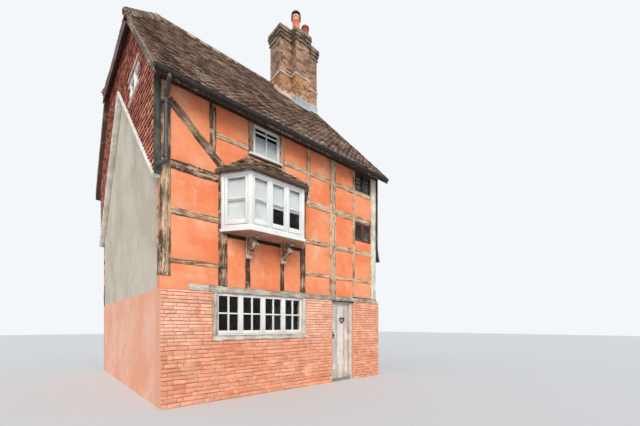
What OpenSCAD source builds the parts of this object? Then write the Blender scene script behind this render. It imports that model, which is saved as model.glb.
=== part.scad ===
// Half timbered house of a terrace: painted brick below, oak frame with limewashed panels above,
// canted oriel on scroll brackets, steep tiled roof with a half hip, cruciform brick chimney.
// Millimetres, +Z up, origin on the ground under the middle of the plan, street front towards -Y.
// Inside house() places are measured from the left end of the front: X along it, Y into the house.

/* [Plan] */
// Length of the timber frame along the street
house_l = 6160; // [6000:10:6500]
// Depth of the timber frame from front to rear
house_d = 6800; // [6400:20:7400]
// Thickness of the timber framed walls
wall_t = 200; // [160:10:240]
// Thickness of the brick walls of the ground floor
brick_t = 340; // [300:10:400]
// How far the brick stands in front of the frame, front and rear
brick_proud = 25; // [10:5:40]
// How far the brick stands out beyond the frame at the free right end
brick_end = 95; // [40:5:120]
// Depth of the panels behind the face of the timbers
panel_recess = 14; // [4:2:30]

/* [Levels] */
// Top of the brick walls above the ground
brick_top = 2200; // [2150:10:2260]
// Height of the beam that lies on the brick
beam_h = 130; // [100:5:150]
// Underside of the low rail
low_rail_z = 2790; // [2700:10:2900]
// Height of the low rail
low_rail_h = 90; // [60:5:120]
// Underside of the middle rail
mid_rail_z = 3600; // [3500:10:3700]
// Height of the middle rail
mid_rail_h = 130; // [100:5:160]
// Underside of the main rail, at the upper floor
main_rail_z = 4540; // [4480:10:4580]
// Height of the main rail
main_rail_h = 180; // [150:5:210]
// Underside of the high rail
high_rail_z = 5340; // [5300:10:5400]
// Height of the high rail
high_rail_h = 120; // [90:5:140]
// How much lower the low and main rails of the left bay lie
left_step = 100; // [60:5:120]
// Underside of the wall plates under the eaves
plate_z = 6000; // [5950:10:6100]
// Height of the decayed foot under the left corner post
decayed_foot_h = 120; // [60:10:200]
// Thickness of the ground floor
ground_floor_t = 50; // [40:5:60]
// Thickness of the loft floor
loft_floor_t = 120; // [80:5:160]

/* [Timbers] */
// Width of the left corner post
left_corner_w = 180; // [150:5:220]
// Width of the right corner post
right_corner_w = 230; // [200:5:260]
// Left edge of the post at the left of the oriel
oriel_post_x = 1100; // [1080:10:1140]
// Width of the post at the left of the oriel
oriel_post_w = 190; // [160:5:210]
// Left edge of the post at the right of the oriel
pier_post_x = 3210; // [3180:10:3240]
// Width of the post at the right of the oriel
pier_post_w = 160; // [140:5:180]
// Height of the hidden beam over the oriel
over_beam_h = 160; // [120:5:180]
// How far that beam lies above the underside of the main rail
over_beam_rise = 100; // [80:5:130]
// Left edge of the big post beside the door
door_post_x = 4220; // [4200:5:4250]
// Width of the big post beside the door
door_post_w = 220; // [180:5:230]
// Width of the slender stud beside the two small windows
slender_w = 80; // [60:5:100]
// Width of each small window at the right
small_window_w = 720; // [640:10:740]
// Left edge of the stud that stands on the brace
brace_stud_x = 920; // [860:10:940]
// Width of the stud that stands on the brace
brace_stud_w = 125; // [100:5:140]
// Width of the brace
brace_w = 160; // [130:5:180]
// Height of the brace on the corner post
brace_top_z = 5680; // [5600:10:5760]
// Left edge of the upper stud at the right of the oriel
upper_stud_x = 3420; // [3400:10:3460]
// Width of the upper stud at the right of the oriel
upper_stud_w = 110; // [90:5:130]
// Width of the studs behind the scroll brackets
bracket_stud_w = 110; // [100:5:130]
// Open joint between the beams on the brick
beam_joint = 3; // [2:1:6]
// Distance from the corner post to the first beam on the brick
beam_start = 320; // [280:10:360]
// How far the beam over the ground window starts before the window
window_beam_lap = 70; // [50:5:90]
// How far that beam runs on past the post at the right of the oriel
post_beam_lap = 20; // [10:5:40]
// How far the beam over the door starts before the door frame
door_beam_lap = 20; // [10:5:40]

/* [Ground window] */
// Left edge of the ground window's surround
ground_window_x = 963; // [940:10:1000]
// Width of the ground window with its surround
ground_window_w = 2407; // [2300:10:2440]
// Underside of the ground window's timber sill
ground_window_z = 1210; // [1150:10:1260]
// Height of the timber sill
ground_sill_h = 110; // [80:5:130]
// Width of the timber jambs
ground_jamb_w = 105; // [90:5:130]
// How far the timber sill stands out of the brick
ground_sill_out = 30; // [15:5:50]
// Width of the members of a window frame
frame_w = 45; // [35:5:55]
// Width of the posts between the lights of the ground window
ground_mullion_w = 110; // [80:5:130]
// Depth of a window frame, front to back
frame_d = 60; // [50:5:80]
// Thickness of the glass
glass_t = 6; // [4:1:8]
// How far a window frame lies behind the face of the wall
frame_y = 20; // [10:5:40]

/* [Upper windows] */
// Left edge of the window under the eaves
eaves_window_x = 1900; // [1880:10:1930]
// Width of the window under the eaves
eaves_window_w = 710; // [680:10:730]
// Underside of the window under the eaves
eaves_window_z = 5270; // [5250:10:5330]
// Width of the studs beside the window under the eaves
eaves_stud_w = 120; // [90:5:130]
// Height of its projecting sill board
sill_board_h = 40; // [30:5:50]
// How far its sill board stands out
sill_board_out = 60; // [40:5:90]
// Sill of the small window under the main rail
small_window_z = 4000; // [3920:10:4060]
// Start of the gable window behind the front
gable_window_y = 1200; // [1150:10:1300]
// Width of the gable window
gable_window_w = 950; // [850:10:1000]
// Height of the gable window's sill above the roof line at its inner side
gable_window_rise = 217; // [180:1:260]
// Height of the gable window
gable_window_h = 520; // [460:10:560]
// Width of the bar between the lights of the window under the eaves
eaves_mullion_w = 30; // [25:5:60]
// How far the sill board of that window runs on past the frame at its left end
sill_horn_l = 115; // [80:5:120]
// How far the sill board of that window runs on past the frame at its right end
sill_horn_r = 40; // [20:5:60]
// Height of the boards over and under the gable window
gable_board_h = 45; // [30:5:60]
// How far those boards stand out of the tile hanging
gable_board_out = 38; // [20:2:50]
// How far those boards run on past the gable window
gable_board_lap = 30; // [10:5:50]
// How far those boards cover the window's frame
gable_board_cover = 12; // [6:2:20]
// Width of the post between the lights of the small windows
small_mullion_w = 40; // [30:5:50]

/* [Oriel] */
// Projection of the oriel in front of the frame
oriel_out = 543; // [480:10:600]
// Run of each canted side along the front
oriel_cant = 385; // [340:5:420]
// Underside of the oriel's joinery
oriel_z = 3500; // [3460:10:3540]
// Height of the board that carries the joinery
oriel_base_h = 55; // [45:5:70]
// How far that board stands out past the joinery
oriel_base_out = 25; // [15:5:35]
// Thickness of the oriel's joinery
oriel_frame_t = 70; // [60:5:80]
// Width of the two mullions of the oriel's front
oriel_mullion_w = 55; // [45:5:70]
// Overhang of the oriel's roof
oriel_eave_out = 100; // [70:5:130]
// Thickness of the oriel roof's eave
oriel_eave_h = 50; // [40:5:60]
// Top of the oriel's roof on the wall
oriel_roof_top = 5175; // [5080:5:5230]
// How far the top of the oriel's roof draws in from each side
oriel_roof_in = 620; // [560:10:680]
// Height of each scroll bracket
bracket_h = 465; // [400:5:520]
// Projection of each scroll bracket
bracket_out = 430; // [360:10:470]
// Thickness of each scroll bracket
bracket_w = 90; // [70:5:100]
// Thickness of the plate on top of each bracket
bracket_plate_t = 22; // [15:1:30]
// Thickness of the slab at the back of each bracket
bracket_back_t = 25; // [15:1:35]
// How far plate, slab and foot block stand out at each side of a bracket
bracket_lip = 10; // [4:1:15]
// Height of the foot block of each bracket
foot_block_h = 45; // [30:5:60]
// Projection of the foot block of each bracket
foot_block_out = 62; // [50:2:75]
// Radius of the upper scroll
scroll_r = 62; // [50:2:70]
// Radius of the lower scroll
foot_scroll_r = 50; // [40:2:56]

/* [Door] */
// Left edge of the door's visible opening
door_x = 4350; // [4340:5:4365]
// Width of the door's visible opening
door_w = 650; // [600:10:700]
// Height of the door's visible opening
door_h = 2140; // [2050:10:2145]
// Width of the left side of the door frame
door_jamb_l = 80; // [60:5:90]
// Width of the right side of the door frame
door_jamb_r = 130; // [100:5:140]
// Depth of the door frame
door_frame_d = 90; // [80:5:110]
// How far the door frame lies behind the face of the brick
door_set_back = 60; // [40:5:80]
// How far the stops cover the edge of the leaf
door_stop = 20; // [15:1:26]
// Thickness of the boarded leaf
leaf_t = 45; // [35:1:50]
// Gap round the leaf
leaf_gap = 9; // [8:1:12]
// Height of the stone threshold
threshold_h = 50; // [45:5:60]
// Diameter of the hinge pins
pin_d = 16; // [14:1:20]
// Wall of the hinge eyes
eye_wall = 6; // [4:1:8]
// Running clearance in the hinge eyes
eye_clear = 0.3; // [0.2:0.1:0.5]
// Height of each hinge strap
strap_h = 40; // [30:5:60]
// Length of each hinge strap
strap_l = 420; // [300:10:500]
// Height of the arm that carries each hinge pin
pintle_arm_h = 30; // [20:5:40]
// Distance from each hinge pin to its plate on the frame
pintle_plate_x = 40; // [35:1:44]
// Width of the plates that carry the hinge pins
pintle_plate_w = 50; // [40:5:60]
// Thickness of the plates that carry the hinge pins
pintle_plate_t = 8; // [5:1:10]
// How far those plates and the pins run on past the hinge
pintle_over = 30; // [20:5:40]
// Clearance of the turning leaf from the frame and the hinge eyes
swing_clear = 5; // [5:0.5:6]
// Distance of the hinge straps from the ends of the leaf
hinge_inset = 260; // [200:10:320]
// Width of the latch plate
latch_w = 50; // [40:5:60]
// Height of the latch plate
latch_h = 180; // [140:10:220]
// Radius of the latch knob
knob_r = 24; // [20:1:28]
// Height of the latch above the ground
latch_z = 1250; // [1100:10:1350]

/* [Roof] */
// Pitch of the front and rear slopes
roof_pitch = 47.6; // [45:0.2:49]
// Overhang of the eaves
eave_out = 300; // [240:10:340]
// Top of the tiles at the eave
eave_z = 6040; // [6020:10:6120]
// Thickness of the tiled roof
roof_t = 120; // [100:5:130]
// Overhang of the left verge
left_verge = 200; // [160:10:220]
// Overhang of the right verge
right_verge = 200; // [180:10:240]
// Pitch of the half hip
hip_pitch = 58.5; // [56.5:0.5:60.5]
// Overhang of the half hip
hip_out = 250; // [230:5:300]
// Top of the tiles at the half hip's eave
hip_eave_z = 8300; // [8200:10:8400]
// Radius of the ridge tiles
ridge_r = 120; // [100:5:140]
// Radius of the bonnet tiles on the hips
bonnet_r = 105; // [90:5:120]
// Radius of the half round gutter
gutter_r = 57; // [50:1:62]
// Wall of the gutter
gutter_t = 7; // [5:1:9]
// Radius of the downpipe
pipe_r = 36; // [34:1:40]
// Distance of the downpipe from the wall
pipe_gap = 14; // [10:1:20]
// How far the gutter's outlet lies to the left of the downpipe
outlet_x = 30; // [0:5:50]
// Height of the gutter's centre below the top of the eave tiles
gutter_drop = 95; // [85:5:110]
// Length of the outlet under the gutter
outlet_h = 50; // [44:1:60]
// Height of the swan neck
neck_h = 155; // [140:5:190]
// Run of the downpipe's foot towards the lower house's roof
foot_run = 200; // [160:10:240]
// Fall of the downpipe's foot
foot_fall = 160; // [130:10:180]
// How far the bend over that foot lies below the top of the main rail
foot_drop = 200; // [180:10:230]
// How far the downpipe's foot leans out from the wall
foot_lean = 60; // [50:5:90]
// Height of the pipe's collars
collar_h = 60; // [50:5:80]
// Width of the pipe's clips
clip_w = 120; // [100:10:140]

/* [Gable cladding] */
// Thickness of the tile hanging on the left gable
tile_hanging_t = 80; // [60:5:90]
// Height of the roof line on the left gable, at the front
abutment_z = 4250; // [4150:10:4400]
// Pitch of the roof line on the left gable
abutment_pitch = 44.5; // [42:0.5:46]
// Height of the mortar fillet on that line
fillet_h = 70; // [50:5:90]
// How far the mortar fillet stands out past the tile hanging
fillet_out = 60; // [40:5:80]
// Thickness of the boarding on the right gable
boarding_t = 110; // [90:5:130]
// Foot of the boarding above the ground
boarding_z = 3500; // [3400:10:3600]
// How far the foot of the boarding flares out
boarding_flare = 120; // [80:5:140]
// Height of the flared foot of the boarding
flare_h = 450; // [380:10:520]
// Width of the corner board
corner_board_w = 110; // [90:5:130]
// Thickness of the corner board
corner_board_t = 30; // [25:1:34]

/* [Chimney] */
// Length of the stack along the ridge
stack_l = 1660; // [1560:10:1700]
// How far the stack stands out of the frame of the right gable
stack_out = 116; // [100:2:130]
// Depth of the stack across the ridge
stack_d = 640; // [560:10:700]
// Length of the two projections of the stack
shaft_l = 600; // [540:10:660]
// How far each projection stands out
shaft_out = 270; // [220:10:300]
// Start of the projections from the left end of the stack
shaft_x = 470; // [420:10:500]
// How far the stack stands in front of the ridge
stack_forward = 150; // [100:10:200]
// Foot of the stack in the roof
stack_z = 8500; // [8300:10:8600]
// Top of the stack under the oversailing courses
stack_top = 11580; // [11400:10:11700]
// Clearance of the drip course over the lead at the ridge, to the nearest mm
drip_clear = 108; // [60:4:180]
// Thickness of the drip course
drip_h = 22; // [15:1:30]
// How far the drip course stands out
drip_out = 30; // [20:1:40]
// Thickness of the creasing tiles under the crown
crease_h = 16; // [12:1:20]
// How far the creasing tiles stand out past the lower oversailing course
crease_out = 20; // [10:1:24]
// Height of the lower oversailing course
course_a_h = 130; // [100:5:140]
// Height of the upper oversailing course
course_b_h = 100; // [80:5:120]
// Height of the capping courses
cap_h = 160; // [130:5:190]
// Step of each oversailing course
course_step = 22; // [15:1:30]
// Height of the lead above the tiles
lead_h = 160; // [100:10:200]
// Thickness of the lead dressing
lead_t = 12; // [8:1:16]
// Distance of the pot under the cowl from the left end of the stack
cowl_pot_x = 914; // [880:2:930]
// Distance of the open pot from the right end of the stack
open_pot_inset = 306; // [270:2:310]
// Radius of the pots
pot_r = 135; // [115:5:145]
// Height of the pot under the cowl
pot_h = 1070; // [950:10:1150]
// Wall of the pots
pot_wall = 25; // [20:1:30]
// Height of the open pot
open_pot_h = 940; // [840:10:1000]
// Height of the mortar mound round the foot of each pot
flaunch_h = 55; // [40:1:60]
// Width of that mound
flaunch_w = 78; // [50:1:80]
// Height of the cowl
cowl_h = 230; // [220:10:260]
// Radius of the cowl's hood
hood_r = 180; // [160:5:200]
// Height of the cowl's hood
hood_h = 150; // [130:5:160]
// Thickness of the two cheeks that hang from the hood
cheek_t = 15; // [10:1:18]
// How far the cheeks hang down past the top of the pot
cheek_drop = 130; // [100:10:160]
// Width of the cheeks
cheek_w = 190; // [150:10:220]
// Turn of the cowl on its pot
cowl_turn = 37; // [0:1:90]
// Width of the openings under the hood
vent_w = 100; // [80:5:120]
// Height of a pot's rim
rim_h = 60; // [50:5:80]
// How far a pot's rim stands out
rim_out = 15; // [10:1:20]

/* [Hidden] */
$fn = 48;
eps = 1;
// Gap between the mortar mound and the pot in it
bed_clear = 0.5;
// Depth to which the bonnet tiles and the ridge tiles are bedded
tile_bed = 30;
ridge_bed = 50;
// How far the ridge tiles start before the ridge
ridge_lap = 60;
// How far a gutter stops short of the left verge, and of the right one
gutter_inset = 20;
gutter_end_inset = 80;
// How far the bends of the downpipe stand out of its bore line, and its collars
bend_out = 5;
collar_out = 8;
// Solid band under the vents of the cowl, and over them
vent_foot = 30;
vent_head = 20;
// Thickness of the oriel's roof where it dies into the wall
roof_tip = 10;
big = 20000;

beam_top = brick_top + beam_h;
main_rail_top = main_rail_z + main_rail_h;
over_beam_z = main_rail_z + over_beam_rise;
over_beam_top = over_beam_z + over_beam_h;
small_window_x = house_l - right_corner_w - small_window_w;
slender_x = small_window_x - slender_w;
oriel_x0 = oriel_post_x + oriel_post_w / 4;
oriel_x1 = pier_post_x + pier_post_w / 2;
first_bracket_x = oriel_x0 + oriel_roof_in;
last_bracket_x = oriel_x1 - oriel_roof_in;
mid_y = house_d / 2;
ridge_z = roof_z(mid_y);
roof_drop = roof_t / cos(roof_pitch);
hip_drop = roof_t / cos(hip_pitch);
ridge_start_x = (ridge_z - hip_eave_z) / tan(hip_pitch) - hip_out;
hip_foot_y = (hip_eave_z - eave_z) / tan(roof_pitch) - eave_out;
oriel_angle = atan2(oriel_out, oriel_cant);
oriel_side = norm([oriel_cant, oriel_out]);
stack_x = house_l + stack_out - stack_l;
stack_y = mid_y - stack_forward;
crown_top = stack_top + course_a_h + course_b_h + cap_h;
drip_z = round(ridge_z + lead_h) + drip_clear;
door_y = door_set_back - brick_proud;
leaf_y = door_y + door_frame_d - leaf_t;
leaf_x0 = door_x - door_stop + leaf_gap;
leaf_x1 = door_x + door_w + door_stop - leaf_gap;
leaf_z0 = threshold_h + leaf_gap;
leaf_z1 = door_h + door_stop - leaf_gap;
eye_r = pin_d / 2 + eye_clear + eye_wall;
pin_x = leaf_x1 + leaf_gap / 2;
pin_y = leaf_y + leaf_t + eye_r + swing_clear;
hinge_levels = [leaf_z0 + hinge_inset, leaf_z1 - hinge_inset - strap_h];

function roof_z(y) = eave_z + (y + eave_out) * tan(roof_pitch);
function hip_z(x) = hip_eave_z + (x + hip_out) * tan(hip_pitch);
// Plan of the oriel, set out by a distance from its outer face
function oriel_plan(out) =
    let (shift = out / sin(oriel_angle), run = (oriel_out + out) / tan(oriel_angle))
    [[oriel_x0 - shift, 0], [oriel_x0 - shift + run, -oriel_out - out],
     [oriel_x1 + shift - run, -oriel_out - out], [oriel_x1 + shift, 0]];

module house() translate([-house_l / 2, -house_d / 2, 0]) children();
module box(x0, x1, y0, y1, z0, z1) translate([x0, y0, z0]) cube([x1 - x0, y1 - y0, z1 - z0]);
// Extrudes an outline of Y and Z along X
module along_x(x0, x1) translate([x0, 0, 0]) rotate([90, 0, 90]) linear_extrude(x1 - x0) children();
// Extrudes an outline of X and Z along Y
module along_y(y0, y1) translate([0, y1, 0]) rotate([90, 0, 0]) linear_extrude(y1 - y0) children();
// The same piece on the rear of the house
module to_rear() translate([0, house_d, 0]) mirror([0, 1, 0]) children();
// A round bar between two points
module rod(a, b, r) {
    v = b - a;
    translate(a) rotate([0, acos(v[2] / norm(v)), atan2(v[1], v[0])]) cylinder(h = norm(v), r = r);
}

// Walls of the ground floor
module brick_front_left() color("salmon") house() difference() {
    box(0, door_x - door_jamb_l, -brick_proud, brick_t - brick_proud, 0, brick_top);
    ground_window_hole();
}
module brick_front_right() color("salmon") house()
    box(door_x + door_w + door_jamb_r, house_l + brick_end, -brick_proud, brick_t - brick_proud, 0, brick_top);
module brick_left() color("salmon") house()
    box(0, brick_t, brick_t - brick_proud, house_d - brick_t + brick_proud, 0, brick_top);
module brick_right() color("salmon") house()
    box(house_l + brick_end - brick_t, house_l + brick_end, brick_t - brick_proud,
        house_d - brick_t + brick_proud, 0, brick_top);
module brick_rear() color("salmon") house() to_rear() difference() {
    box(0, house_l + brick_end, -brick_proud, brick_t - brick_proud, 0, brick_top);
    ground_window_hole();
}
// Sloping mortar on the ledge where the brick stands out at the free end
module mortar_shoulder() color("salmon") house() along_y(-brick_proud, house_d + brick_proud)
    polygon([[house_l, brick_top], [house_l + brick_end, brick_top], [house_l, brick_top + brick_end]]);
module ground_window_hole()
    box(ground_window_x, ground_window_x + ground_window_w, -brick_proud - eps, brick_t, ground_window_z,
        brick_top + eps);

// Floors, cut round the chimney breast
module floor_plate(inset, z, t) difference() {
    box(inset, house_l - inset, inset, house_d - inset, z, z + t);
    box(stack_x, house_l, stack_y - stack_d / 2, stack_y + stack_d / 2, -eps, big);
}
module ground_floor() color("tan") house()
    box(brick_t, house_l + brick_end - brick_t, brick_t - brick_proud, house_d - brick_t + brick_proud,
        0, ground_floor_t);
module first_floor() color("tan") house() floor_plate(wall_t, brick_top, beam_h);
module second_floor() color("tan") house() floor_plate(wall_t, main_rail_z, main_rail_h);
module loft_floor() color("tan") house() floor_plate(wall_t, plate_z, loft_floor_t);

// Timber frame: posts are [left edge, width, foot, head]
corner_posts = [
    [0, left_corner_w, beam_top + decayed_foot_h, plate_z],
    [house_l - right_corner_w, right_corner_w, beam_top, plate_z]
];
front_post_list = concat(corner_posts, [
    [oriel_post_x, oriel_post_w, beam_top, over_beam_z],
    [pier_post_x, pier_post_w, beam_top, over_beam_z],
    [door_post_x, door_post_w, beam_top, plate_z],
    [slender_x, slender_w, beam_top, plate_z],
    [upper_stud_x, upper_stud_w, main_rail_top, plate_z],
    [first_bracket_x - bracket_stud_w / 2, bracket_stud_w, beam_top, oriel_z - oriel_base_h],
    [last_bracket_x - bracket_stud_w / 2, bracket_stud_w, beam_top, oriel_z - oriel_base_h],
    [eaves_window_x - eaves_stud_w, eaves_stud_w, over_beam_top, plate_z],
    [eaves_window_x + eaves_window_w, eaves_stud_w, over_beam_top, plate_z]
]);
// Rails are [left end, right end, underside, height]
left_rails = [
    [left_corner_w, oriel_post_x, low_rail_z - left_step, low_rail_h],
    [left_corner_w, oriel_post_x, mid_rail_z, mid_rail_h],
    [left_corner_w, oriel_post_x, main_rail_z - left_step, main_rail_h]
];
right_end_x = house_l - right_corner_w;
front_rail_list = concat(left_rails, [
    [oriel_post_x, pier_post_x + pier_post_w, over_beam_z, over_beam_h],
    [pier_post_x + pier_post_w, right_end_x, low_rail_z, low_rail_h],
    [pier_post_x + pier_post_w, right_end_x, mid_rail_z, mid_rail_h],
    [pier_post_x + pier_post_w, right_end_x, main_rail_z, main_rail_h],
    [brace_stud_x + brace_stud_w, right_end_x, high_rail_z, high_rail_h]
]);
module posts(list) for (p = list) box(p[0], p[0] + p[1], 0, wall_t, p[2], p[3]);
module rails(list) for (r = list) box(r[0], r[1], 0, wall_t, r[2], r[2] + r[3]);
// The brace falls from the corner post to the beam over the oriel
brace_run = oriel_post_x + oriel_post_w / 3 - left_corner_w;
brace_fall = brace_top_z - over_beam_top;
function brace_z(x) = brace_top_z - (x - left_corner_w) * brace_fall / brace_run;
module brace() intersection() {
    translate([left_corner_w, 0, brace_top_z]) rotate([0, atan2(brace_fall, brace_run), 0])
        translate([-brace_run, 0, -brace_w / 2]) cube([3 * brace_run, wall_t, brace_w]);
    box(left_corner_w, eaves_window_x - eaves_stud_w, 0, wall_t, over_beam_top, plate_z);
}
module brace_stud() difference() {
    box(brace_stud_x, brace_stud_x + brace_stud_w, 0, wall_t, brace_z(brace_stud_x + brace_stud_w / 2), plate_z);
    brace();
}
beam_ends = [left_corner_w + beam_start, ground_window_x - window_beam_lap,
    pier_post_x + pier_post_w + post_beam_lap, door_x - door_jamb_l - door_beam_lap, house_l];
module front_beams() color("dimgray") house() for (i = [0 : len(beam_ends) - 2])
    box(beam_ends[i], beam_ends[i + 1] - beam_joint, 0, wall_t, brick_top, beam_top);
module front_posts() color("peru") house() {
    posts(front_post_list);
    brace_stud();
}
module front_rails() color("peru") house() difference() {
    rails(front_rail_list);
    posts(front_post_list);
    eaves_window_hole();
}
module front_brace() color("peru") house() brace();
module front_panels() color("coral") house() difference() {
    box(0, house_l, panel_recess, wall_t - panel_recess, brick_top, plate_z);
    posts(front_post_list);
    rails(front_rail_list);
    brace();
    brace_stud();
    front_beam_bed();
    eaves_window_hole();
    small_window_holes();
    oriel_hole();
}
module front_beam_bed() box(beam_ends[0], house_l, 0, wall_t, brick_top, beam_top);
module eaves_window_hole()
    box(eaves_window_x, eaves_window_x + eaves_window_w, -eps, wall_t + eps, eaves_window_z, plate_z);
module small_window_holes() for (z = small_window_levels)
    box(small_window_x, right_end_x, -eps, wall_t + eps, z[0], z[1]);
small_window_levels = [[small_window_z, main_rail_z], [high_rail_z + high_rail_h, plate_z]];
module oriel_hole()
    box(oriel_post_x + oriel_post_w, pier_post_x, -eps, wall_t + eps, oriel_z, over_beam_z);

// The rear repeats the storeys plainly
rear_post_list = [
    [0, left_corner_w, beam_top, plate_z], [oriel_post_x, oriel_post_w, beam_top, plate_z],
    [pier_post_x, pier_post_w, beam_top, plate_z], [door_post_x, door_post_w, beam_top, plate_z],
    [slender_x, slender_w, beam_top, plate_z],
    [right_end_x, right_corner_w, beam_top, plate_z]
];
rear_rail_list = [for (r = [[brick_top, beam_h], [low_rail_z, low_rail_h], [mid_rail_z, mid_rail_h],
    [main_rail_z, main_rail_h], [high_rail_z, high_rail_h]]) [0, house_l, r[0], r[1]]];
module rear_posts() color("peru") house() to_rear() posts(rear_post_list);
module rear_rails() color("peru") house() to_rear() difference() {
    rails(rear_rail_list);
    posts(rear_post_list);
}
module rear_panels() color("coral") house() to_rear() difference() {
    box(0, house_l, panel_recess, wall_t - panel_recess, brick_top, plate_z);
    posts(rear_post_list);
    rails(rear_rail_list);
    small_window_holes();
}

// Gable walls and what they wear
module under_roof() polygon([[-eave_out, 0], [-eave_out, eave_z - roof_drop], [mid_y, ridge_z - roof_drop],
    [house_d + eave_out, eave_z - roof_drop], [house_d + eave_out, 0]]);
module under_hip(drop) along_y(-big, big) polygon([[-hip_out, -eps], [-hip_out, hip_z(-hip_out) - drop],
    [house_l, hip_z(house_l) - drop], [house_l + right_verge, hip_z(house_l) - drop],
    [house_l + right_verge, -eps]]);
module gable(x0, x1, y0, z0) intersection() {
    along_x(x0, x1) under_roof();
    under_hip(hip_drop);
    box(x0, x1, y0, house_d - y0, z0, big);
}
gable_window_end = gable_window_y + gable_window_w;
gable_window_z = abutment(gable_window_end) + gable_window_rise;
module gable_window_hole()
    box(-tile_hanging_t - eps, wall_t + eps, gable_window_y, gable_window_end, gable_window_z,
        gable_window_z + gable_window_h);
module left_gable_wall() color("bisque") house() difference() {
    gable(0, wall_t, wall_t, brick_top);
    gable_window_hole();
}
module right_gable_wall() color("bisque") house() difference() {
    gable(house_l - wall_t, house_l, wall_t, brick_top);
    stack_block(0, stack_z, stack_top);
}
module wall_plates() color("sienna") house() for (rear = [0, 1]) translate([0, rear * house_d, 0])
    mirror([0, rear, 0]) intersection() {
        along_x(0, house_l) under_roof();
        box(0, house_l, 0, wall_t, plate_z, big);
    }
// Height of the lower house's roof line on the gable
function abutment(y) = abutment_z + (y < mid_y ? y : house_d - y) * tan(abutment_pitch);
module tile_hanging() color("indianred") house() difference() {
    gable(-tile_hanging_t, 0, 0, abutment_z);
    along_x(-tile_hanging_t - eps, eps) polygon([[-eps, 0], [-eps, abutment(0)], [mid_y, abutment(mid_y)],
        [house_d + eps, abutment(house_d)], [house_d + eps, 0]]);
    gable_window_hole();
}
module mortar_fillet() color("whitesmoke") house() along_x(-tile_hanging_t - fillet_out, 0)
    polygon([[0, abutment(0) - fillet_h], [0, abutment(0)], [mid_y, abutment(mid_y)], [house_d, abutment(house_d)],
        [house_d, abutment(house_d) - fillet_h], [mid_y, abutment(mid_y) - fillet_h]]);
module corner_board() color("dimgray") house()
    box(-corner_board_w, 0, -corner_board_t, 0, abutment_z, plate_z);
module gable_boarding() color("gray") house() difference() {
    intersection() {
        along_y(0, house_d) polygon([[house_l, boarding_z], [house_l + boarding_t + boarding_flare, boarding_z],
            [house_l + boarding_t, boarding_z + flare_h], [house_l + boarding_t, big], [house_l, big]]);
        along_x(house_l, house_l + boarding_t + boarding_flare) under_roof();
    }
    stack_block(0, stack_z, stack_top);
}

// Roof
module slope() along_x(-left_verge, house_l + right_verge)
    polygon([[-eave_out, eave_z - roof_drop], [-eave_out, eave_z], [mid_y, ridge_z], [mid_y, ridge_z - roof_drop]]);
module roof_slope() intersection() {
    slope();
    under_hip(0);
}
module roof_front() color("saddlebrown") house() difference() {
    roof_slope();
    stack_block(0, stack_z, stack_top);
}
module roof_rear() color("saddlebrown") house() difference() {
    to_rear() roof_slope();
    stack_block(0, stack_z, stack_top);
}
module roof_half_hip() color("saddlebrown") house() intersection() {
    along_y(0, house_d) polygon([[-hip_out, hip_z(-hip_out) - hip_drop], [-hip_out, hip_z(-hip_out)],
        [house_l, hip_z(house_l)], [house_l, hip_z(house_l) - hip_drop]]);
    along_x(-hip_out, house_l) under_roof();
}
// The solid under the outer faces of the tiles
module roof_body() intersection() {
    along_x(-left_verge - eps, house_l + right_verge + eps) polygon([[-eave_out, 0], [-eave_out, eave_z],
        [mid_y, ridge_z], [house_d + eave_out, eave_z], [house_d + eave_out, 0]]);
    under_hip(0);
}
module ridge_bar() rod([ridge_start_x - ridge_lap, mid_y, ridge_z - ridge_bed],
    [house_l + right_verge, mid_y, ridge_z - ridge_bed], ridge_r);
module ridge_tiles() color("brown") house() difference() {
    ridge_bar();
    roof_body();
    stack_block(lead_t, stack_z, stack_top);
}
module hip_tiles() color("brown") house() difference() {
    for (y = [hip_foot_y, house_d - hip_foot_y])
        rod([-left_verge, y, hip_z(-left_verge) - tile_bed], [ridge_start_x, mid_y, ridge_z - tile_bed], bonnet_r);
    roof_body();
    along_x(-hip_out - bonnet_r, house_l) under_roof();
    ridge_bar();
}
// Gutter outline, its flat back on the eave
module gutter_outline() {
    difference() {
        circle(r = gutter_r);
        circle(r = gutter_r - gutter_t);
        translate([-gutter_r - eps, 0]) square([2 * gutter_r + 2 * eps, gutter_r + eps]);
    }
    translate([gutter_r - gutter_t, -gutter_r / 2]) square([gutter_t, gutter_r]);
}
gutter_y = -eave_out - gutter_r;
gutter_z = eave_z - gutter_drop;
module gutter() along_x(-left_verge + gutter_inset, house_l + right_verge - gutter_end_inset)
    translate([gutter_y, gutter_z]) gutter_outline();
module gutters() color("black") house() {
    gutter();
    to_rear() gutter();
}
pipe_x = left_corner_w / 2;
pipe_y = -pipe_r - pipe_gap;
pipe_foot_z = main_rail_top - foot_drop;
outlet_z = gutter_z - gutter_r;
neck_z = outlet_z - outlet_h - neck_h;
module downpipe() color("black") house() {
    bends = [[pipe_x - outlet_x, gutter_y, outlet_z], [pipe_x - outlet_x, gutter_y, outlet_z - outlet_h],
             [pipe_x, pipe_y, neck_z], [pipe_x, pipe_y, pipe_foot_z],
             [pipe_x - foot_run, pipe_y - foot_lean, pipe_foot_z - foot_fall]];
    for (i = [0 : len(bends) - 2]) rod(bends[i], bends[i + 1], pipe_r);
    for (i = [1 : len(bends) - 2]) translate(bends[i]) sphere(r = pipe_r + bend_out);
    for (z = [pipe_foot_z + collar_h, neck_z - 2 * collar_h]) {
        translate([pipe_x, pipe_y, z]) cylinder(h = collar_h, r = pipe_r + collar_out);
        box(pipe_x - clip_w / 2, pipe_x + clip_w / 2, pipe_y, 0, z + collar_h / 4, z + collar_h * 3 / 4);
    }
}

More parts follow.
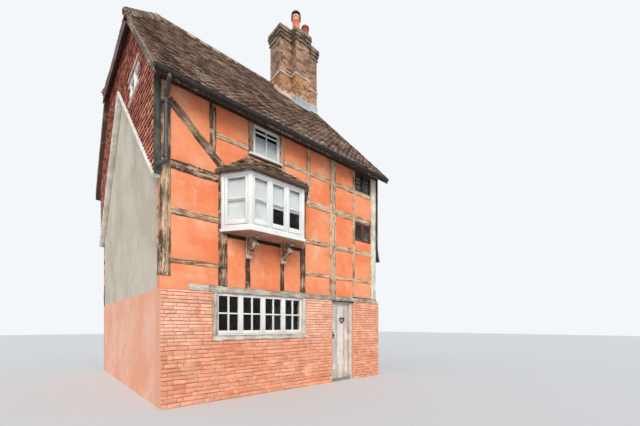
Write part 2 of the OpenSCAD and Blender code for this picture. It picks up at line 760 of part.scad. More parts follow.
// Chimney
module stack_plan(out) {
    translate([stack_x - out, stack_y - stack_d / 2 - out]) square([stack_l + 2 * out, stack_d + 2 * out]);
    translate([stack_x + shaft_x - out, stack_y - stack_d / 2 - shaft_out - out])
        square([shaft_l + 2 * out, stack_d + 2 * shaft_out + 2 * out]);
}
module stack_block(out, z0, z1) translate([0, 0, z0]) linear_extrude(z1 - z0) stack_plan(out);
// The breast narrows where it meets the thicker brick of the ground floor
module chimney_breast() color("salmon") house() difference() {
    box(stack_x, house_l - wall_t, stack_y - stack_d / 2, stack_y + stack_d / 2, ground_floor_t, stack_z);
    box(house_l + brick_end - brick_t, house_l, 0, house_d, 0, brick_top);
}
module chimney_stack() color("rosybrown") house() {
    stack_block(0, stack_z, stack_top);
    stack_block(drip_out, drip_z, drip_z + drip_h);
}
// Courses that step outwards over creasing tiles, with mortar mounded round the pots
module chimney_crown() color("rosybrown") house() {
    stack_block(course_step + crease_out, stack_top, stack_top + crease_h);
    stack_block(course_step, stack_top, stack_top + course_a_h);
    stack_block(2 * course_step, stack_top + course_a_h, stack_top + course_a_h + course_b_h);
    stack_block(3 * course_step, stack_top + course_a_h + course_b_h, crown_top);
    for (p = pots) translate([p[0], stack_y, crown_top]) difference() {
        cylinder(h = flaunch_h, r1 = pot_r + rim_out + flaunch_w, r2 = pot_r + 2 * rim_out);
        translate([0, 0, -eps]) cylinder(h = flaunch_h + 2 * eps, r = pot_r + rim_out + bed_clear);
    }
}
module chimney_lead() color("gray") house() difference() {
    intersection() {
        stack_block(lead_t, stack_z, stack_top);
        along_x(0, house_l + right_verge) polygon([[-eave_out, eave_z], [-eave_out, eave_z + lead_h],
            [mid_y, ridge_z + lead_h], [house_d + eave_out, eave_z + lead_h], [house_d + eave_out, eave_z],
            [mid_y, ridge_z]]);
    }
    stack_block(0, stack_z - eps, stack_top);
}
pots = [[stack_x + cowl_pot_x, pot_h], [stack_x + stack_l - open_pot_inset, open_pot_h]];
pot_bore = pot_r - pot_wall;
hood_z = cowl_h - hood_h;
module chimney_pots() color("indianred") house() for (p = pots) translate([p[0], stack_y, crown_top])
    rotate_extrude() polygon([[pot_bore, 0], [pot_r + rim_out, 0], [pot_r + rim_out, rim_h], [pot_r, 1.5 * rim_h],
        [pot_r - rim_out / 2, p[1] - 1.2 * rim_h], [pot_r + rim_out, p[1] - rim_h], [pot_r + rim_out, p[1]],
        [pot_bore, p[1]]]);
// The cowl stands in its pot's mouth, open on four sides under the hood, with a cheek hanging at two sides
module chimney_cowl() color("black") house() translate([pots[0][0], stack_y, crown_top + pot_h])
    rotate(-cowl_turn) {
        difference() {
            rotate_extrude() polygon(concat([[0, 0], [pot_bore, 0], [pot_bore, hood_z]],
                [for (a = [0 : 15 : 90]) [hood_r * cos(a), hood_z + hood_h * sin(a)]]));
            for (a = [0, 90]) rotate(a)
                box(-vent_w / 2, vent_w / 2, -hood_r, hood_r, vent_foot, hood_z - vent_head);
        }
        intersection() {
            difference() {
                translate([0, 0, -cheek_drop]) cylinder(h = cheek_drop + hood_z, r = hood_r);
                translate([0, 0, -cheek_drop - eps]) cylinder(h = cheek_drop + hood_z + 2 * eps,
                    r = hood_r - cheek_t);
            }
            box(-hood_r, hood_r, -cheek_w / 2, cheek_w / 2, -cheek_drop, hood_z);
        }
    }

// Oriel
module oriel_slab(out, z0, z1) translate([0, 0, z0]) linear_extrude(z1 - z0) polygon(oriel_plan(out));
// Places a piece on the left canted side, or mirrored on the right one
module on_cant(side) translate([side ? oriel_x0 + oriel_x1 : 0, 0, 0]) mirror([side, 0, 0])
    translate([oriel_x0, 0, 0]) rotate(-oriel_angle) children();
oriel_front_x = oriel_x0 + oriel_cant;
oriel_light_w = (oriel_x1 - oriel_x0 - 2 * oriel_cant - 2 * oriel_frame_t - 2 * oriel_mullion_w) / 3;
// Glazed parts of the oriel, a given distance deep from a given depth
module oriel_lights(y, depth) {
    for (i = [0 : 2]) translate([oriel_front_x + oriel_frame_t + i * (oriel_light_w + oriel_mullion_w),
        -oriel_out + y, oriel_z + oriel_frame_t])
        cube([oriel_light_w, depth, over_beam_z - oriel_z - 2 * oriel_frame_t]);
    for (side = [0, 1]) on_cant(side) translate([oriel_frame_t, y, oriel_z + oriel_frame_t])
        cube([oriel_side - 2 * oriel_frame_t, depth, over_beam_z - oriel_z - 2 * oriel_frame_t]);
}
module oriel_base() color("silver") house() oriel_slab(oriel_base_out, oriel_z - oriel_base_h, oriel_z);
module oriel_frame() color("white") house() difference() {
    oriel_slab(0, oriel_z, over_beam_z);
    oriel_slab(-oriel_frame_t, oriel_z - eps, over_beam_z + eps);
    oriel_lights(-eps, oriel_frame_t + 2 * eps);
}
module oriel_roof() color("saddlebrown") house() hull() {
    oriel_slab(oriel_eave_out, over_beam_z, over_beam_z + oriel_eave_h);
    box(first_bracket_x, last_bracket_x, -roof_tip, 0, oriel_roof_top - roof_tip, oriel_roof_top);
}
// Outline of a scroll bracket: Y outwards, Z up, its top at zero, hollowed between its two scrolls
hollow_r = 0.62 * norm([bracket_out - scroll_r - foot_scroll_r, bracket_h - scroll_r - foot_scroll_r]);
module scroll_outline() {
    difference() {
        polygon([[0, 0], [-bracket_out + scroll_r, 0], [-bracket_out + scroll_r, -scroll_r],
            [-foot_scroll_r, -bracket_h + foot_scroll_r], [0, -bracket_h + foot_scroll_r]]);
        translate([-bracket_out + scroll_r * 0.6, -bracket_h + foot_scroll_r * 0.5]) circle(r = hollow_r);
    }
    translate([-bracket_out + scroll_r, -scroll_r]) circle(r = scroll_r);
    translate([-foot_scroll_r, -bracket_h + foot_scroll_r]) circle(r = foot_scroll_r);
    translate([-foot_scroll_r, -bracket_h + foot_scroll_r]) square([foot_scroll_r, bracket_h - foot_scroll_r]);
    translate([-bracket_out + scroll_r, -scroll_r * 0.8]) square([bracket_out - scroll_r, scroll_r * 0.8]);
}
bracket_top = oriel_z - oriel_base_h;
module oriel_brackets() color("dimgray") house() for (x = [first_bracket_x, last_bracket_x]) {
    along_x(x - bracket_w / 2, x + bracket_w / 2) translate([0, bracket_top]) scroll_outline();
    along_x(x - bracket_w / 2 - bracket_lip, x + bracket_w / 2 + bracket_lip) translate([0, bracket_top]) {
        translate([-bracket_out, -bracket_plate_t]) square([bracket_out, bracket_plate_t]);
        translate([-bracket_back_t, -bracket_h]) square([bracket_back_t, bracket_h]);
        translate([-foot_block_out, -bracket_h]) square([foot_block_out, foot_block_h]);
    }
}

// Windows
// A frame in the plane of the front, with its lights cut out
module lights(x0, x1, z0, z1, count, post_w, y, depth) {
    light_w = (x1 - x0 - 2 * frame_w - (count - 1) * post_w) / count;
    for (i = [0 : count - 1]) translate([x0 + frame_w + i * (light_w + post_w), y, z0 + frame_w])
        cube([light_w, depth, z1 - z0 - 2 * frame_w]);
}
module window_frame(x0, x1, z0, z1, count, post_w) difference() {
    box(x0, x1, frame_y, frame_y + frame_d, z0, z1);
    lights(x0, x1, z0, z1, count, post_w, frame_y - eps, frame_d + 2 * eps);
}
module pane(x0, x1, z0, z1, count, post_w)
    lights(x0, x1, z0, z1, count, post_w, frame_y + frame_d / 2 - glass_t / 2, glass_t);
ground_window_end = ground_window_x + ground_window_w;
module ground_window_surround() color("gray") house() for (rear = [0, 1]) translate([0, rear * house_d, 0])
    mirror([0, rear, 0]) {
        box(ground_window_x, ground_window_end, -brick_proud - ground_sill_out, wall_t, ground_window_z,
            ground_window_z + ground_sill_h);
        for (x = [ground_window_x, ground_window_end - ground_jamb_w])
            box(x, x + ground_jamb_w, -brick_proud, wall_t, ground_window_z + ground_sill_h, brick_top);
    }
module ground_window_frames() color("white") house() for (rear = [0, 1]) translate([0, rear * house_d, 0])
    mirror([0, rear, 0]) window_frame(ground_window_x + ground_jamb_w, ground_window_end - ground_jamb_w,
        ground_window_z + ground_sill_h, brick_top, 4, ground_mullion_w);
module eaves_window_frame() color("white") house() {
    window_frame(eaves_window_x, eaves_window_x + eaves_window_w, eaves_window_z + sill_board_h, plate_z, 2,
        eaves_mullion_w);
    box(eaves_window_x, eaves_window_x + eaves_window_w, -sill_board_out, frame_y + frame_d, eaves_window_z,
        eaves_window_z + sill_board_h);
    box(eaves_window_x - sill_horn_l, eaves_window_x + eaves_window_w + sill_horn_r, -sill_board_out, 0,
        eaves_window_z, eaves_window_z + sill_board_h);
}
module small_window_frames() color("dimgray") house() for (rear = [0, 1]) translate([0, rear * house_d, 0])
    mirror([0, rear, 0]) for (z = small_window_levels)
        window_frame(small_window_x, right_end_x, z[0], z[1], 2, small_mullion_w);
// Turns a window of the front into the left gable
module in_gable() translate([-tile_hanging_t - frame_y, 0, 0]) mirror([1, 0, 0]) rotate(90) children();
module gable_window_frame() color("white") house() in_gable() {
    window_frame(gable_window_y, gable_window_end, gable_window_z, gable_window_z + gable_window_h, 2,
        small_mullion_w);
    for (z = [gable_window_z - gable_board_h + gable_board_cover,
        gable_window_z + gable_window_h - gable_board_cover])
        box(gable_window_y - gable_board_lap, gable_window_end + gable_board_lap, frame_y - gable_board_out,
            frame_y, z, z + gable_board_h);
}
module window_glass() color("lightblue") house() {
    for (rear = [0, 1]) translate([0, rear * house_d, 0]) mirror([0, rear, 0]) {
        pane(ground_window_x + ground_jamb_w, ground_window_end - ground_jamb_w, ground_window_z + ground_sill_h,
            brick_top, 4, ground_mullion_w);
        for (z = small_window_levels) pane(small_window_x, right_end_x, z[0], z[1], 2, small_mullion_w);
    }
    pane(eaves_window_x, eaves_window_x + eaves_window_w, eaves_window_z + sill_board_h, plate_z, 2,
        eaves_mullion_w);
    in_gable() pane(gable_window_y, gable_window_end, gable_window_z, gable_window_z + gable_window_h, 2,
        small_mullion_w);
    oriel_lights(oriel_frame_t / 2, glass_t);
}

// Door
module door_hole(side, low) box(door_x - side, door_x + door_w + side, -big, big, -eps, door_h + low);
module door_frame() color("gray") house() difference() {
    box(door_x - door_jamb_l, door_x + door_w + door_jamb_r, door_y, door_y + door_frame_d, 0, brick_top);
    door_hole(0, 0);
    translate([0, leaf_y - swing_clear + big, 0]) door_hole(door_stop, door_stop);
}
module threshold() color("darkgray") house()
    box(door_x, door_x + door_w, -brick_proud, leaf_y - swing_clear, 0, threshold_h);
module door_leaf() color("gainsboro") house() box(leaf_x0, leaf_x1, leaf_y, leaf_y + leaf_t, leaf_z0, leaf_z1);
module door_straps() color("black") house() for (z = hinge_levels) difference() {
    union() {
        box(leaf_x1 - strap_l, leaf_x1, leaf_y + leaf_t, pin_y - eye_r / 2, z, z + strap_h);
        translate([pin_x, pin_y, z]) cylinder(h = strap_h, r = eye_r);
    }
    translate([pin_x, pin_y, z - eps]) cylinder(h = strap_h + 2 * eps, r = pin_d / 2 + eye_clear);
}
module door_pintles() color("black") house() for (z = hinge_levels) translate([pin_x, pin_y, 0]) {
    face = door_y + door_frame_d - pin_y;
    foot = z - pintle_arm_h;
    arm_end = pintle_plate_x + eye_r;
    translate([0, 0, foot]) cylinder(h = pintle_arm_h + strap_h + eye_wall, r = pin_d / 2);
    translate([0, 0, foot]) cylinder(h = pintle_arm_h - eye_clear, r = eye_r);
    box(0, arm_end, -pin_d / 2, pin_d / 2, foot, z - eye_clear);
    box(pintle_plate_x, arm_end, face, pin_d / 2, foot, z - eye_clear);
    box(pintle_plate_x, pintle_plate_x + pintle_plate_w, face, face + pintle_plate_t, foot - pintle_over,
        z + strap_h + pintle_over);
}
// The latch clears the stop of the frame when the leaf is shut
latch_x = leaf_x0 + door_stop + latch_w / 2 + 10;
module door_latch() color("black") house() {
    box(latch_x - latch_w / 2, latch_x + latch_w / 2, leaf_y - eye_wall, leaf_y, latch_z - latch_h / 2,
        latch_z + latch_h / 2);
    translate([latch_x, leaf_y, latch_z]) rotate([90, 0, 0]) cylinder(h = 2 * knob_r, r = eye_r * 0.6);
    translate([latch_x, leaf_y - 2 * knob_r, latch_z]) sphere(r = knob_r);
}

ground_floor();
brick_front_left();
brick_front_right();
brick_left();
brick_right();
brick_rear();
mortar_shoulder();
front_beams();
front_posts();
front_rails();
front_brace();
front_panels();
first_floor();
second_floor();
loft_floor();
rear_posts();
rear_rails();
rear_panels();
left_gable_wall();
right_gable_wall();
wall_plates();
tile_hanging();
mortar_fillet();
corner_board();
gable_boarding();
roof_front();
roof_rear();
roof_half_hip();
ridge_tiles();
hip_tiles();
gutters();
downpipe();
chimney_breast();
chimney_stack();
chimney_crown();
chimney_lead();
chimney_pots();
chimney_cowl();
oriel_base();
oriel_frame();
oriel_roof();
oriel_brackets();
ground_window_surround();
ground_window_frames();
eaves_window_frame();
small_window_frames();
gable_window_frame();
window_glass();
door_frame();
threshold();
door_leaf();
door_straps();
door_pintles();
door_latch();
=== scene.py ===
# Half timbered house: the looks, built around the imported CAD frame.
# Shapes are worked out in metres from the front's left corner at the ground, X along the front,
# Y into the house and Z up, and moved to the shared frame when a piece is made.
import math

import bpy
import numpy as np
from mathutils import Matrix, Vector


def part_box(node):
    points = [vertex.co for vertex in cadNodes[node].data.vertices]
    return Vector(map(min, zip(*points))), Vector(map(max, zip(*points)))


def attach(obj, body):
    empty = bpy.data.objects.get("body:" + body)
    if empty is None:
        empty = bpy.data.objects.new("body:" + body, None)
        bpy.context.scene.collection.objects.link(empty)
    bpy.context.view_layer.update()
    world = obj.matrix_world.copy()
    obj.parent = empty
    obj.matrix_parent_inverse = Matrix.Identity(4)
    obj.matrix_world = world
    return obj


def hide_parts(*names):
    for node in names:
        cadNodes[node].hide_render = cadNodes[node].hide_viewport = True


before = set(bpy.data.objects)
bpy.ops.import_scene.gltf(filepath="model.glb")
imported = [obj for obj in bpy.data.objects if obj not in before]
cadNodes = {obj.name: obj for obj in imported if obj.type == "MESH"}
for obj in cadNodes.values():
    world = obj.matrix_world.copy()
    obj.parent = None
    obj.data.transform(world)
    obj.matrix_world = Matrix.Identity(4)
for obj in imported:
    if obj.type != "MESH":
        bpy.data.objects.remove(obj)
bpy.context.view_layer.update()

postsLow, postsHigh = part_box("front_posts")
corner = np.array([postsLow.x, postsLow.y, 0.0])  # the front's left corner in the shared frame
houseLength = postsHigh.x - postsLow.x
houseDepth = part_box("rear_posts")[1].y - postsLow.y
wallThickness = 0.20
doorway = (4.27, 5.13)  # its left and right side
beamFoot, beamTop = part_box("front_beams")[0].z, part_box("front_beams")[1].z
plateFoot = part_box("wall_plates")[0].z
frontNormal = np.array([0.0, -1.0, 0.0])
upward = np.array([0.0, 0.0, 1.0])
rightward = np.array([1.0, 0.0, 0.0])


# Shape helpers

def ripple(points, size, seed):
    # mean of six sine waves in seeded directions: neighbours move alike, about -1 to 1
    random = np.random.default_rng(seed)
    waves = random.normal(size=(6, points.shape[-1])) * (2 * np.pi / size)
    phases = random.uniform(0, 2 * np.pi, 6)
    return np.sin(points @ waves.T + phases).mean(axis=-1) * 1.8


def gridQuads(rows, columns, wrap=False):
    # four corners of each cell of a grid numbered row by row; wrap joins the last column to the first
    row = np.arange(rows - 1)[:, None] * columns
    column = np.arange(columns if wrap else columns - 1)[None, :]
    after = (column + 1) % columns
    return np.stack([row + column, row + after, row + after + columns, row + column + columns],
                    -1).reshape(-1, 4)


def copies(quads, count, size):
    # the same faces on each of many shapes that have size points
    return (quads[None] + (np.arange(count) * size)[:, None, None]).reshape(-1, 4)


def patch(points, faces, tone=0.5, grain=None):
    # part of a piece: points, faces, and for each point a tone and its place in the timber's grain
    points = np.asarray(points, float).reshape(-1, 3)
    tones = np.broadcast_to(np.ravel(tone), (len(points),))
    return {"points": points, "faces": faces, "tone": tones, "grain": points if grain is None else grain}


def mirrored(part, normalAxis=1, about=0.0):
    # the same patch on the other side of a plane, its faces turned to stay outward
    points = part["points"].copy()
    points[:, normalAxis] = 2 * about - points[:, normalAxis]
    return {**part, "points": points, "faces": [face[:, ::-1] for face in part["faces"]]}


def toRear(parts):
    return [mirrored(part, 1, houseDepth / 2) for part in parts]


def onlyUsed(points, faces):
    # drops points that no face needs and renumbers the faces
    used, renumbered = np.unique(np.concatenate([face.ravel() for face in faces]), return_inverse=True)
    sizes = [face.size for face in faces]
    pieces = np.split(renumbered, np.cumsum(sizes)[:-1])
    return points[used], [piece.reshape(face.shape) for piece, face in zip(pieces, faces)]


def buildPiece(name, parts, material, replaced=(), body="house"):
    # one smooth shaded mesh from many patches, sharp where its faces turn by more than 50 degrees
    counts = np.cumsum([0] + [len(part["points"]) for part in parts])
    faces = [face + start for part, start in zip(parts, counts) for face in part["faces"]]
    loops = np.concatenate([face.ravel() for face in faces])
    sizes = np.concatenate([np.full(len(face), face.shape[1]) for face in faces])
    points = np.concatenate([part["points"] for part in parts]) + corner
    mesh = bpy.data.meshes.new(name)
    mesh.vertices.add(len(points))
    mesh.vertices.foreach_set("co", points.ravel())
    mesh.loops.add(len(loops))
    mesh.loops.foreach_set("vertex_index", loops)
    mesh.polygons.add(len(sizes))
    mesh.polygons.foreach_set("loop_start", np.concatenate([[0], np.cumsum(sizes)[:-1]]))
    mesh.update(calc_edges=True)
    mesh.polygons.foreach_set("use_smooth", np.ones(len(sizes), bool))
    mesh.set_sharp_from_angle(angle=math.radians(50))
    tone = mesh.attributes.new("tone", "FLOAT", "POINT")
    tone.data.foreach_set("value", np.concatenate([part["tone"] for part in parts]))
    grain = mesh.attributes.new("grain", "FLOAT_VECTOR", "POINT")
    grain.data.foreach_set("vector", np.concatenate([part["grain"] for part in parts]).ravel())
    piece = bpy.data.objects.new(name, mesh)
    bpy.context.scene.collection.objects.link(piece)
    mesh.materials.append(material)
    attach(piece, body)
    if replaced:
        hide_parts(*replaced)
    print(f"{name}: {int((sizes - 2).sum())} triangles")
    return piece


def sweepRings(rings):
    # rings is stations x ring points x 3, each ring counter-clockwise seen against the path;
    # fans from each end ring's middle close the ends
    stations, around = rings.shape[:2]
    points = np.vstack([rings.reshape(-1, 3), rings[0].mean(0), rings[-1].mean(0)])
    first = np.arange(around)
    after = (first + 1) % around
    toLast = (stations - 1) * around
    middle = np.full(around, stations * around)
    return points, [gridQuads(stations, around, wrap=True), np.stack([middle, after, first], -1),
                    np.stack([middle + 1, first + toLast, after + toLast], -1)]


def ringOfRevolution(profile, centre, around=32):
    # a profile of radius and height turned about an upright axis, closed at both ends
    turn = np.linspace(0, 2 * np.pi, around, endpoint=False)
    radius, height = np.asarray(profile, float).T
    rings = np.stack([radius[:, None] * np.cos(turn), radius[:, None] * np.sin(turn),
                      np.repeat(height[:, None], around, 1)], -1) + np.asarray(centre, float)
    return patch(*sweepRings(rings))


def gridSlab(front, back, kept=None, tone=0.5):
    # two grids of points joined into a closed slab: both faces without the cells left out, and a
    # side face along every open edge; the faces turn so that front looks away from back
    rows, columns = front.shape[:2]
    if kept is None:
        kept = np.ones((rows - 1, columns - 1), bool)
    offset = rows * columns
    padded = np.pad(kept, 1)
    row, column = np.nonzero(kept)
    here = row * columns + column
    quads = gridQuads(rows, columns)[kept.ravel()]
    faces = [quads, quads[:, ::-1] + offset]
    sides = ((-1, 0, 0, 1), (0, 1, 1, columns + 1), (1, 0, columns + 1, columns), (0, -1, columns, 0))
    for rowStep, columnStep, first, second in sides:
        edge = ~padded[row + 1 + rowStep, column + 1 + columnStep]
        a, b = here[edge] + first, here[edge] + second
        if len(a):
            faces.append(np.stack([b, a, a + offset, b + offset], -1))
    normal = np.cross(front[-1, -1] - front[0, 0], front[-1, 0] - front[0, -1])
    if normal @ (front - back).mean((0, 1)) < 0:
        faces = [face[:, ::-1] for face in faces]
    return patch(*onlyUsed(np.concatenate([front.reshape(-1, 3), back.reshape(-1, 3)]), faces), tone)


cutBox = {
    "corners": np.array([[0, 0], [1, 0], [1, 1], [0, 1]], float),
    "quads": np.array([[3, 2, 1, 0], [0, 1, 5, 4], [1, 2, 6, 5], [2, 3, 7, 6], [3, 0, 4, 7], [4, 5, 9, 8],
                       [5, 6, 10, 9], [6, 7, 11, 10], [7, 4, 8, 11], [8, 9, 10, 11]]),
}


def planedBars(boxes, chamfer=0.003, seed=0, tone=None):
    # boxes are left, right, face, back, foot and head; the edges of the face, towards -Y, are cut
    left, right, face, back, foot, head = (value[:, None] for value in np.array(boxes, float).T)
    rings = []
    for depth, inset in ((back, 0), (face + chamfer, 0), (face, chamfer)):
        across = left + inset + (right - left - 2 * inset) * cutBox["corners"][:, 0]
        up = foot + inset + (head - foot - 2 * inset) * cutBox["corners"][:, 1]
        rings.append(np.stack([across, np.repeat(depth, 4, 1), up], -1))
    points = np.concatenate(rings, 1)
    count = len(points)
    tones = np.random.default_rng(seed).uniform(0.25, 0.75, count) if tone is None else np.full(count, tone)
    # the grain runs along each bar's longer side
    upright = ((head - foot) > (right - left))[..., None]
    grain = np.where(upright, points[..., [2, 0, 1]], points)
    return patch(points, [copies(cutBox["quads"], count, 12)], np.repeat(tones, 12), grain.reshape(-1, 3))


def onWall(parts, origin, along):
    # carries patches set out like the front, X along and Y inwards, to a wall that runs another way
    along = np.asarray(along, float) / np.linalg.norm(along)
    axes = np.array([along, np.cross(upward, along), upward])
    return [{**part, "points": np.asarray(origin, float) + part["points"] @ axes} for part in parts]


def timberBar(start, end, outward, width, depth, seed, wobble=0.006, chamfer=0.007, step=0.07, tone=None):
    # ten points of a rectangle with cut corners, carried from start to end along the middle of the
    # outer face; each side wanders by its own sine waves, and the face swells a little
    start, end, outward = np.asarray(start, float), np.asarray(end, float), np.asarray(outward, float)
    length = np.linalg.norm(end - start)
    along = (end - start) / length
    across = np.cross(outward, along)
    half = width / 2
    ring = np.array([[half, chamfer - depth], [half, -chamfer], [half - chamfer, 0], [half / 3, 0],
                     [-half / 3, 0], [chamfer - half, 0], [-half, -chamfer], [-half, chamfer - depth],
                     [chamfer - half, -depth], [half - chamfer, -depth]])
    stations = max(2, int(round(length / step)) + 1)
    travel = np.linspace(0, length, stations)
    line = np.stack([travel, np.full(stations, seed * 1.7), np.zeros(stations)], -1)
    sides = [ripple(line, 0.9, seed + 11) + 0.45 * ripple(line, 0.23, seed + 12),
             ripple(line, 0.8, seed + 21) + 0.45 * ripple(line, 0.27, seed + 22)]
    u = np.repeat(ring[None, :, 0], stations, 0)
    v = np.repeat(ring[None, :, 1], stations, 0)
    u += wobble * np.where(ring[:, 0] > 0, sides[0][:, None], sides[1][:, None])
    front = ring[:, 1] > -2 * chamfer
    swell = ripple(np.stack([np.repeat(travel[:, None], 10, 1), u * 4, v], -1), 0.5, seed + 31)
    v += 0.45 * wobble * swell * front
    rings = start + travel[:, None, None] * along + u[..., None] * across + v[..., None] * outward
    points, faces = sweepRings(rings)
    grain = np.stack([np.repeat(travel[:, None], 10, 1), u, v], -1).reshape(-1, 3)
    grain = np.vstack([grain, [0, 0, 0], [length, 0, 0]]) + np.array([seed * 3.1, seed * 0.7, 0])
    if tone is None:
        tone = np.random.default_rng(seed).uniform(0.25, 0.75)
    # the sides and the face's edges get a lower tone: painted shade along each timber's edges
    shadedEdges = np.abs(ring[:, 0]) > half - 2 * chamfer
    drift = ripple(np.stack([travel, np.full(stations, seed)], -1), 0.45, seed + 41)
    tones = tone - 0.30 * shadedEdges + 0.28 * drift[:, None]
    return patch(points, faces, np.concatenate([tones.ravel(), tones[[0, -1]].mean(1)]), grain)


def postBar(left, width, foot, head, seed, proud=0.004, **more):
    return timberBar([left + width / 2, -proud, foot], [left + width / 2, -proud, head], frontNormal, width,
                     wallThickness + proud, seed, **more)


def railBar(left, right, foot, height, seed, proud=0.004, **more):
    return timberBar([left, -proud, foot + height / 2], [right, -proud, foot + height / 2], frontNormal,
                     height, wallThickness + proud, seed, **more)


def inside(points, outline):
    # even-odd rule: counts the outline's sides crossed by a ray along +X
    hit = np.zeros(len(points), bool)
    for a, b in zip(outline, np.roll(outline, -1, 0)):
        straddles = (a[1] > points[:, 1]) != (b[1] > points[:, 1])
        slope = (b[0] - a[0]) / (b[1] - a[1] if b[1] != a[1] else 1)
        hit ^= straddles & (points[:, 0] < a[0] + (points[:, 1] - a[1]) * slope)
    return hit


# Node helpers

def srgb(colour):
    # a colour as it looks, 0 to 255, turned to linear light
    channel = np.array(colour) / 255
    linear = np.where(channel <= 0.04045, channel / 12.92, ((channel + 0.055) / 1.055) ** 2.4)
    return (*linear.tolist(), 1.0)


def put(tree, kind, values=None, **settings):
    # adds a node, sets its properties, and fills its inputs with numbers or links
    node = tree.nodes.new(kind)
    for key, value in settings.items():
        setattr(node, key, value)
    for key, value in (values or {}).items():
        if isinstance(value, bpy.types.NodeSocket):
            tree.links.new(value, node.inputs[key])
        else:
            node.inputs[key].default_value = value
    return node.outputs


def noise(tree, vector, scale, detail=3.0, roughness=0.55, stretch=None):
    if stretch is not None:
        vector = put(tree, "ShaderNodeMapping", {"Vector": vector, "Scale": stretch})[0]
    values = {"Vector": vector, "Scale": scale, "Detail": detail, "Roughness": roughness}
    return put(tree, "ShaderNodeTexNoise", values)["Fac"]


def span(tree, value, low, high, outLow=0.0, outHigh=1.0):
    # an eased step from low to high
    values = {"Value": value, "From Min": low, "From Max": high, "To Min": outLow, "To Max": outHigh}
    return put(tree, "ShaderNodeMapRange", values, interpolation_type="SMOOTHSTEP")[0]


def blend(tree, amount, first, second, how="MIX"):
    values = {"Factor": amount, 6: first, 7: second}
    return put(tree, "ShaderNodeMix", values, data_type="RGBA", blend_type=how)[2]


def speckled(tree, share, colour, pattern, low=(0.3, 0.3, 0.3, 1), high=(1.7, 1.7, 1.7, 1)):
    # darkens and lightens a colour by a pattern
    return blend(tree, share, colour, blend(tree, pattern, low, high), "MULTIPLY")


def maths(tree, how, *values):
    return put(tree, "ShaderNodeMath", dict(enumerate(values)), operation=how)[0]


def times(tree, first, second):
    return maths(tree, "MULTIPLY", first, second)


def makeGroup(name, inputs, effect):
    # inputs are name: kind; the effect lays out the nodes and returns the colour and the height put out
    group = bpy.data.node_groups.new(name, "ShaderNodeTree")
    for side, sockets in (("INPUT", inputs), ("OUTPUT", {"Color": "Color", "Height": "Float"})):
        for label, kind in sockets.items():
            group.interface.new_socket(label, in_out=side, socket_type=f"NodeSocket{kind}")
    given, result = group.nodes.new("NodeGroupInput"), group.nodes.new("NodeGroupOutput")
    for label, value in zip(("Color", "Height"), effect(group, given.outputs)):
        group.links.new(value, result.inputs[label])
    return group


def grainEffect(tree, given):
    # fibres, darker bands and long cracks along the first axis of Vector, with smears of limewash
    vector = given["Vector"]
    fibre = noise(tree, vector, 1.0, 4.0, 0.6, (7.0, 70.0, 70.0))
    band = noise(tree, vector, 1.0, 4.0, 0.65, (2.2, 20.0, 20.0))
    split = noise(tree, vector, 1.0, 3.0, 0.6, (1.6, 22.0, 22.0))
    knots = noise(tree, vector, 1.0, 3.0, 0.6, (6.0, 14.0, 14.0))
    crack = span(tree, maths(tree, "ABSOLUTE", maths(tree, "SUBTRACT", split, 0.52)), 0.0, 0.042, 1.0, 0.0)
    crack = times(tree, times(tree, crack, span(tree, band, 0.36, 0.52)), given["Cracks"])
    knot = times(tree, span(tree, knots, 0.60, 0.70), given["Cracks"])
    tone = maths(tree, "MULTIPLY_ADD", given["Tone"], 0.42, band)
    colour = blend(tree, span(tree, tone, 0.50, 0.86), given["Dark"], given["Light"])
    colour = speckled(tree, 0.55, colour, fibre, (0.3, 0.27, 0.25, 1), (1.5, 1.5, 1.5, 1))
    colour = blend(tree, times(tree, knot, 0.7), colour, (0.05, 0.028, 0.016, 1))
    colour = blend(tree, times(tree, crack, 0.88), colour, (0.022, 0.013, 0.008, 1))
    smear = span(tree, noise(tree, given["Place"], 6.0, 5.0, 0.7), 0.54, 0.64)
    colour = blend(tree, times(tree, smear, given["Smears"]), colour, given["Smear"])
    return colour, maths(tree, "SUBTRACT", times(tree, fibre, 0.5), crack)


def coatEffect(tree, given):
    # three colours in soft patches of three sizes, and a lumpy height
    values = {0: given["Vector"], "Scale": given["Size"]}
    vector = put(tree, "ShaderNodeVectorMath", values, operation="SCALE")[0]
    broad = noise(tree, vector, 0.9, 4.0, 0.6)
    mottle = noise(tree, vector, 7.0, 5.0, 0.7)
    streak = noise(tree, vector, 1.0, 5.0, 0.65, (3.4, 3.4, 2.2))
    fine = noise(tree, vector, 38.0, 4.0, 0.65)
    amount = span(tree, maths(tree, "MULTIPLY_ADD", mottle, 0.45, broad), 0.56, 0.86)
    colour = blend(tree, amount, given["Main"], given["Second"])
    third = span(tree, maths(tree, "ADD", streak, times(tree, broad, 0.6)), 0.86, 1.02)
    colour = blend(tree, times(tree, third, given["Thirds"]), colour, given["Third"])
    height = maths(tree, "ADD", times(tree, mottle, 0.8), times(tree, fine, 0.25))
    return speckled(tree, 0.18, colour, fine), height


def clayEffect(tree, given):
    # one of three clay colours per brick or tile by its tone, speckled, with lichen in patches
    vector = given["Vector"]
    speckle = noise(tree, vector, 55.0, 4.0, 0.7)
    blotch = noise(tree, vector, 6.0, 4.0, 0.65)
    broad = noise(tree, vector, 1.1, 3.0, 0.6)
    spots = noise(tree, vector, 21.0, 5.0, 0.75)
    shade = maths(tree, "ADD", given["Tone"], times(tree, maths(tree, "SUBTRACT", blotch, 0.5), 0.9))
    colour = blend(tree, span(tree, shade, 0.1, 0.5), given["Low"], given["Middle"])
    colour = blend(tree, span(tree, shade, 0.55, 1.0), colour, given["High"])
    lichen = span(tree, maths(tree, "ADD", times(tree, broad, 0.7), spots), 0.90, 1.02)
    colour = blend(tree, times(tree, lichen, given["Lichens"]), speckled(tree, 0.4, colour, speckle),
                   given["Lichen"])
    return colour, maths(tree, "ADD", times(tree, speckle, 0.5), times(tree, blotch, 0.5))


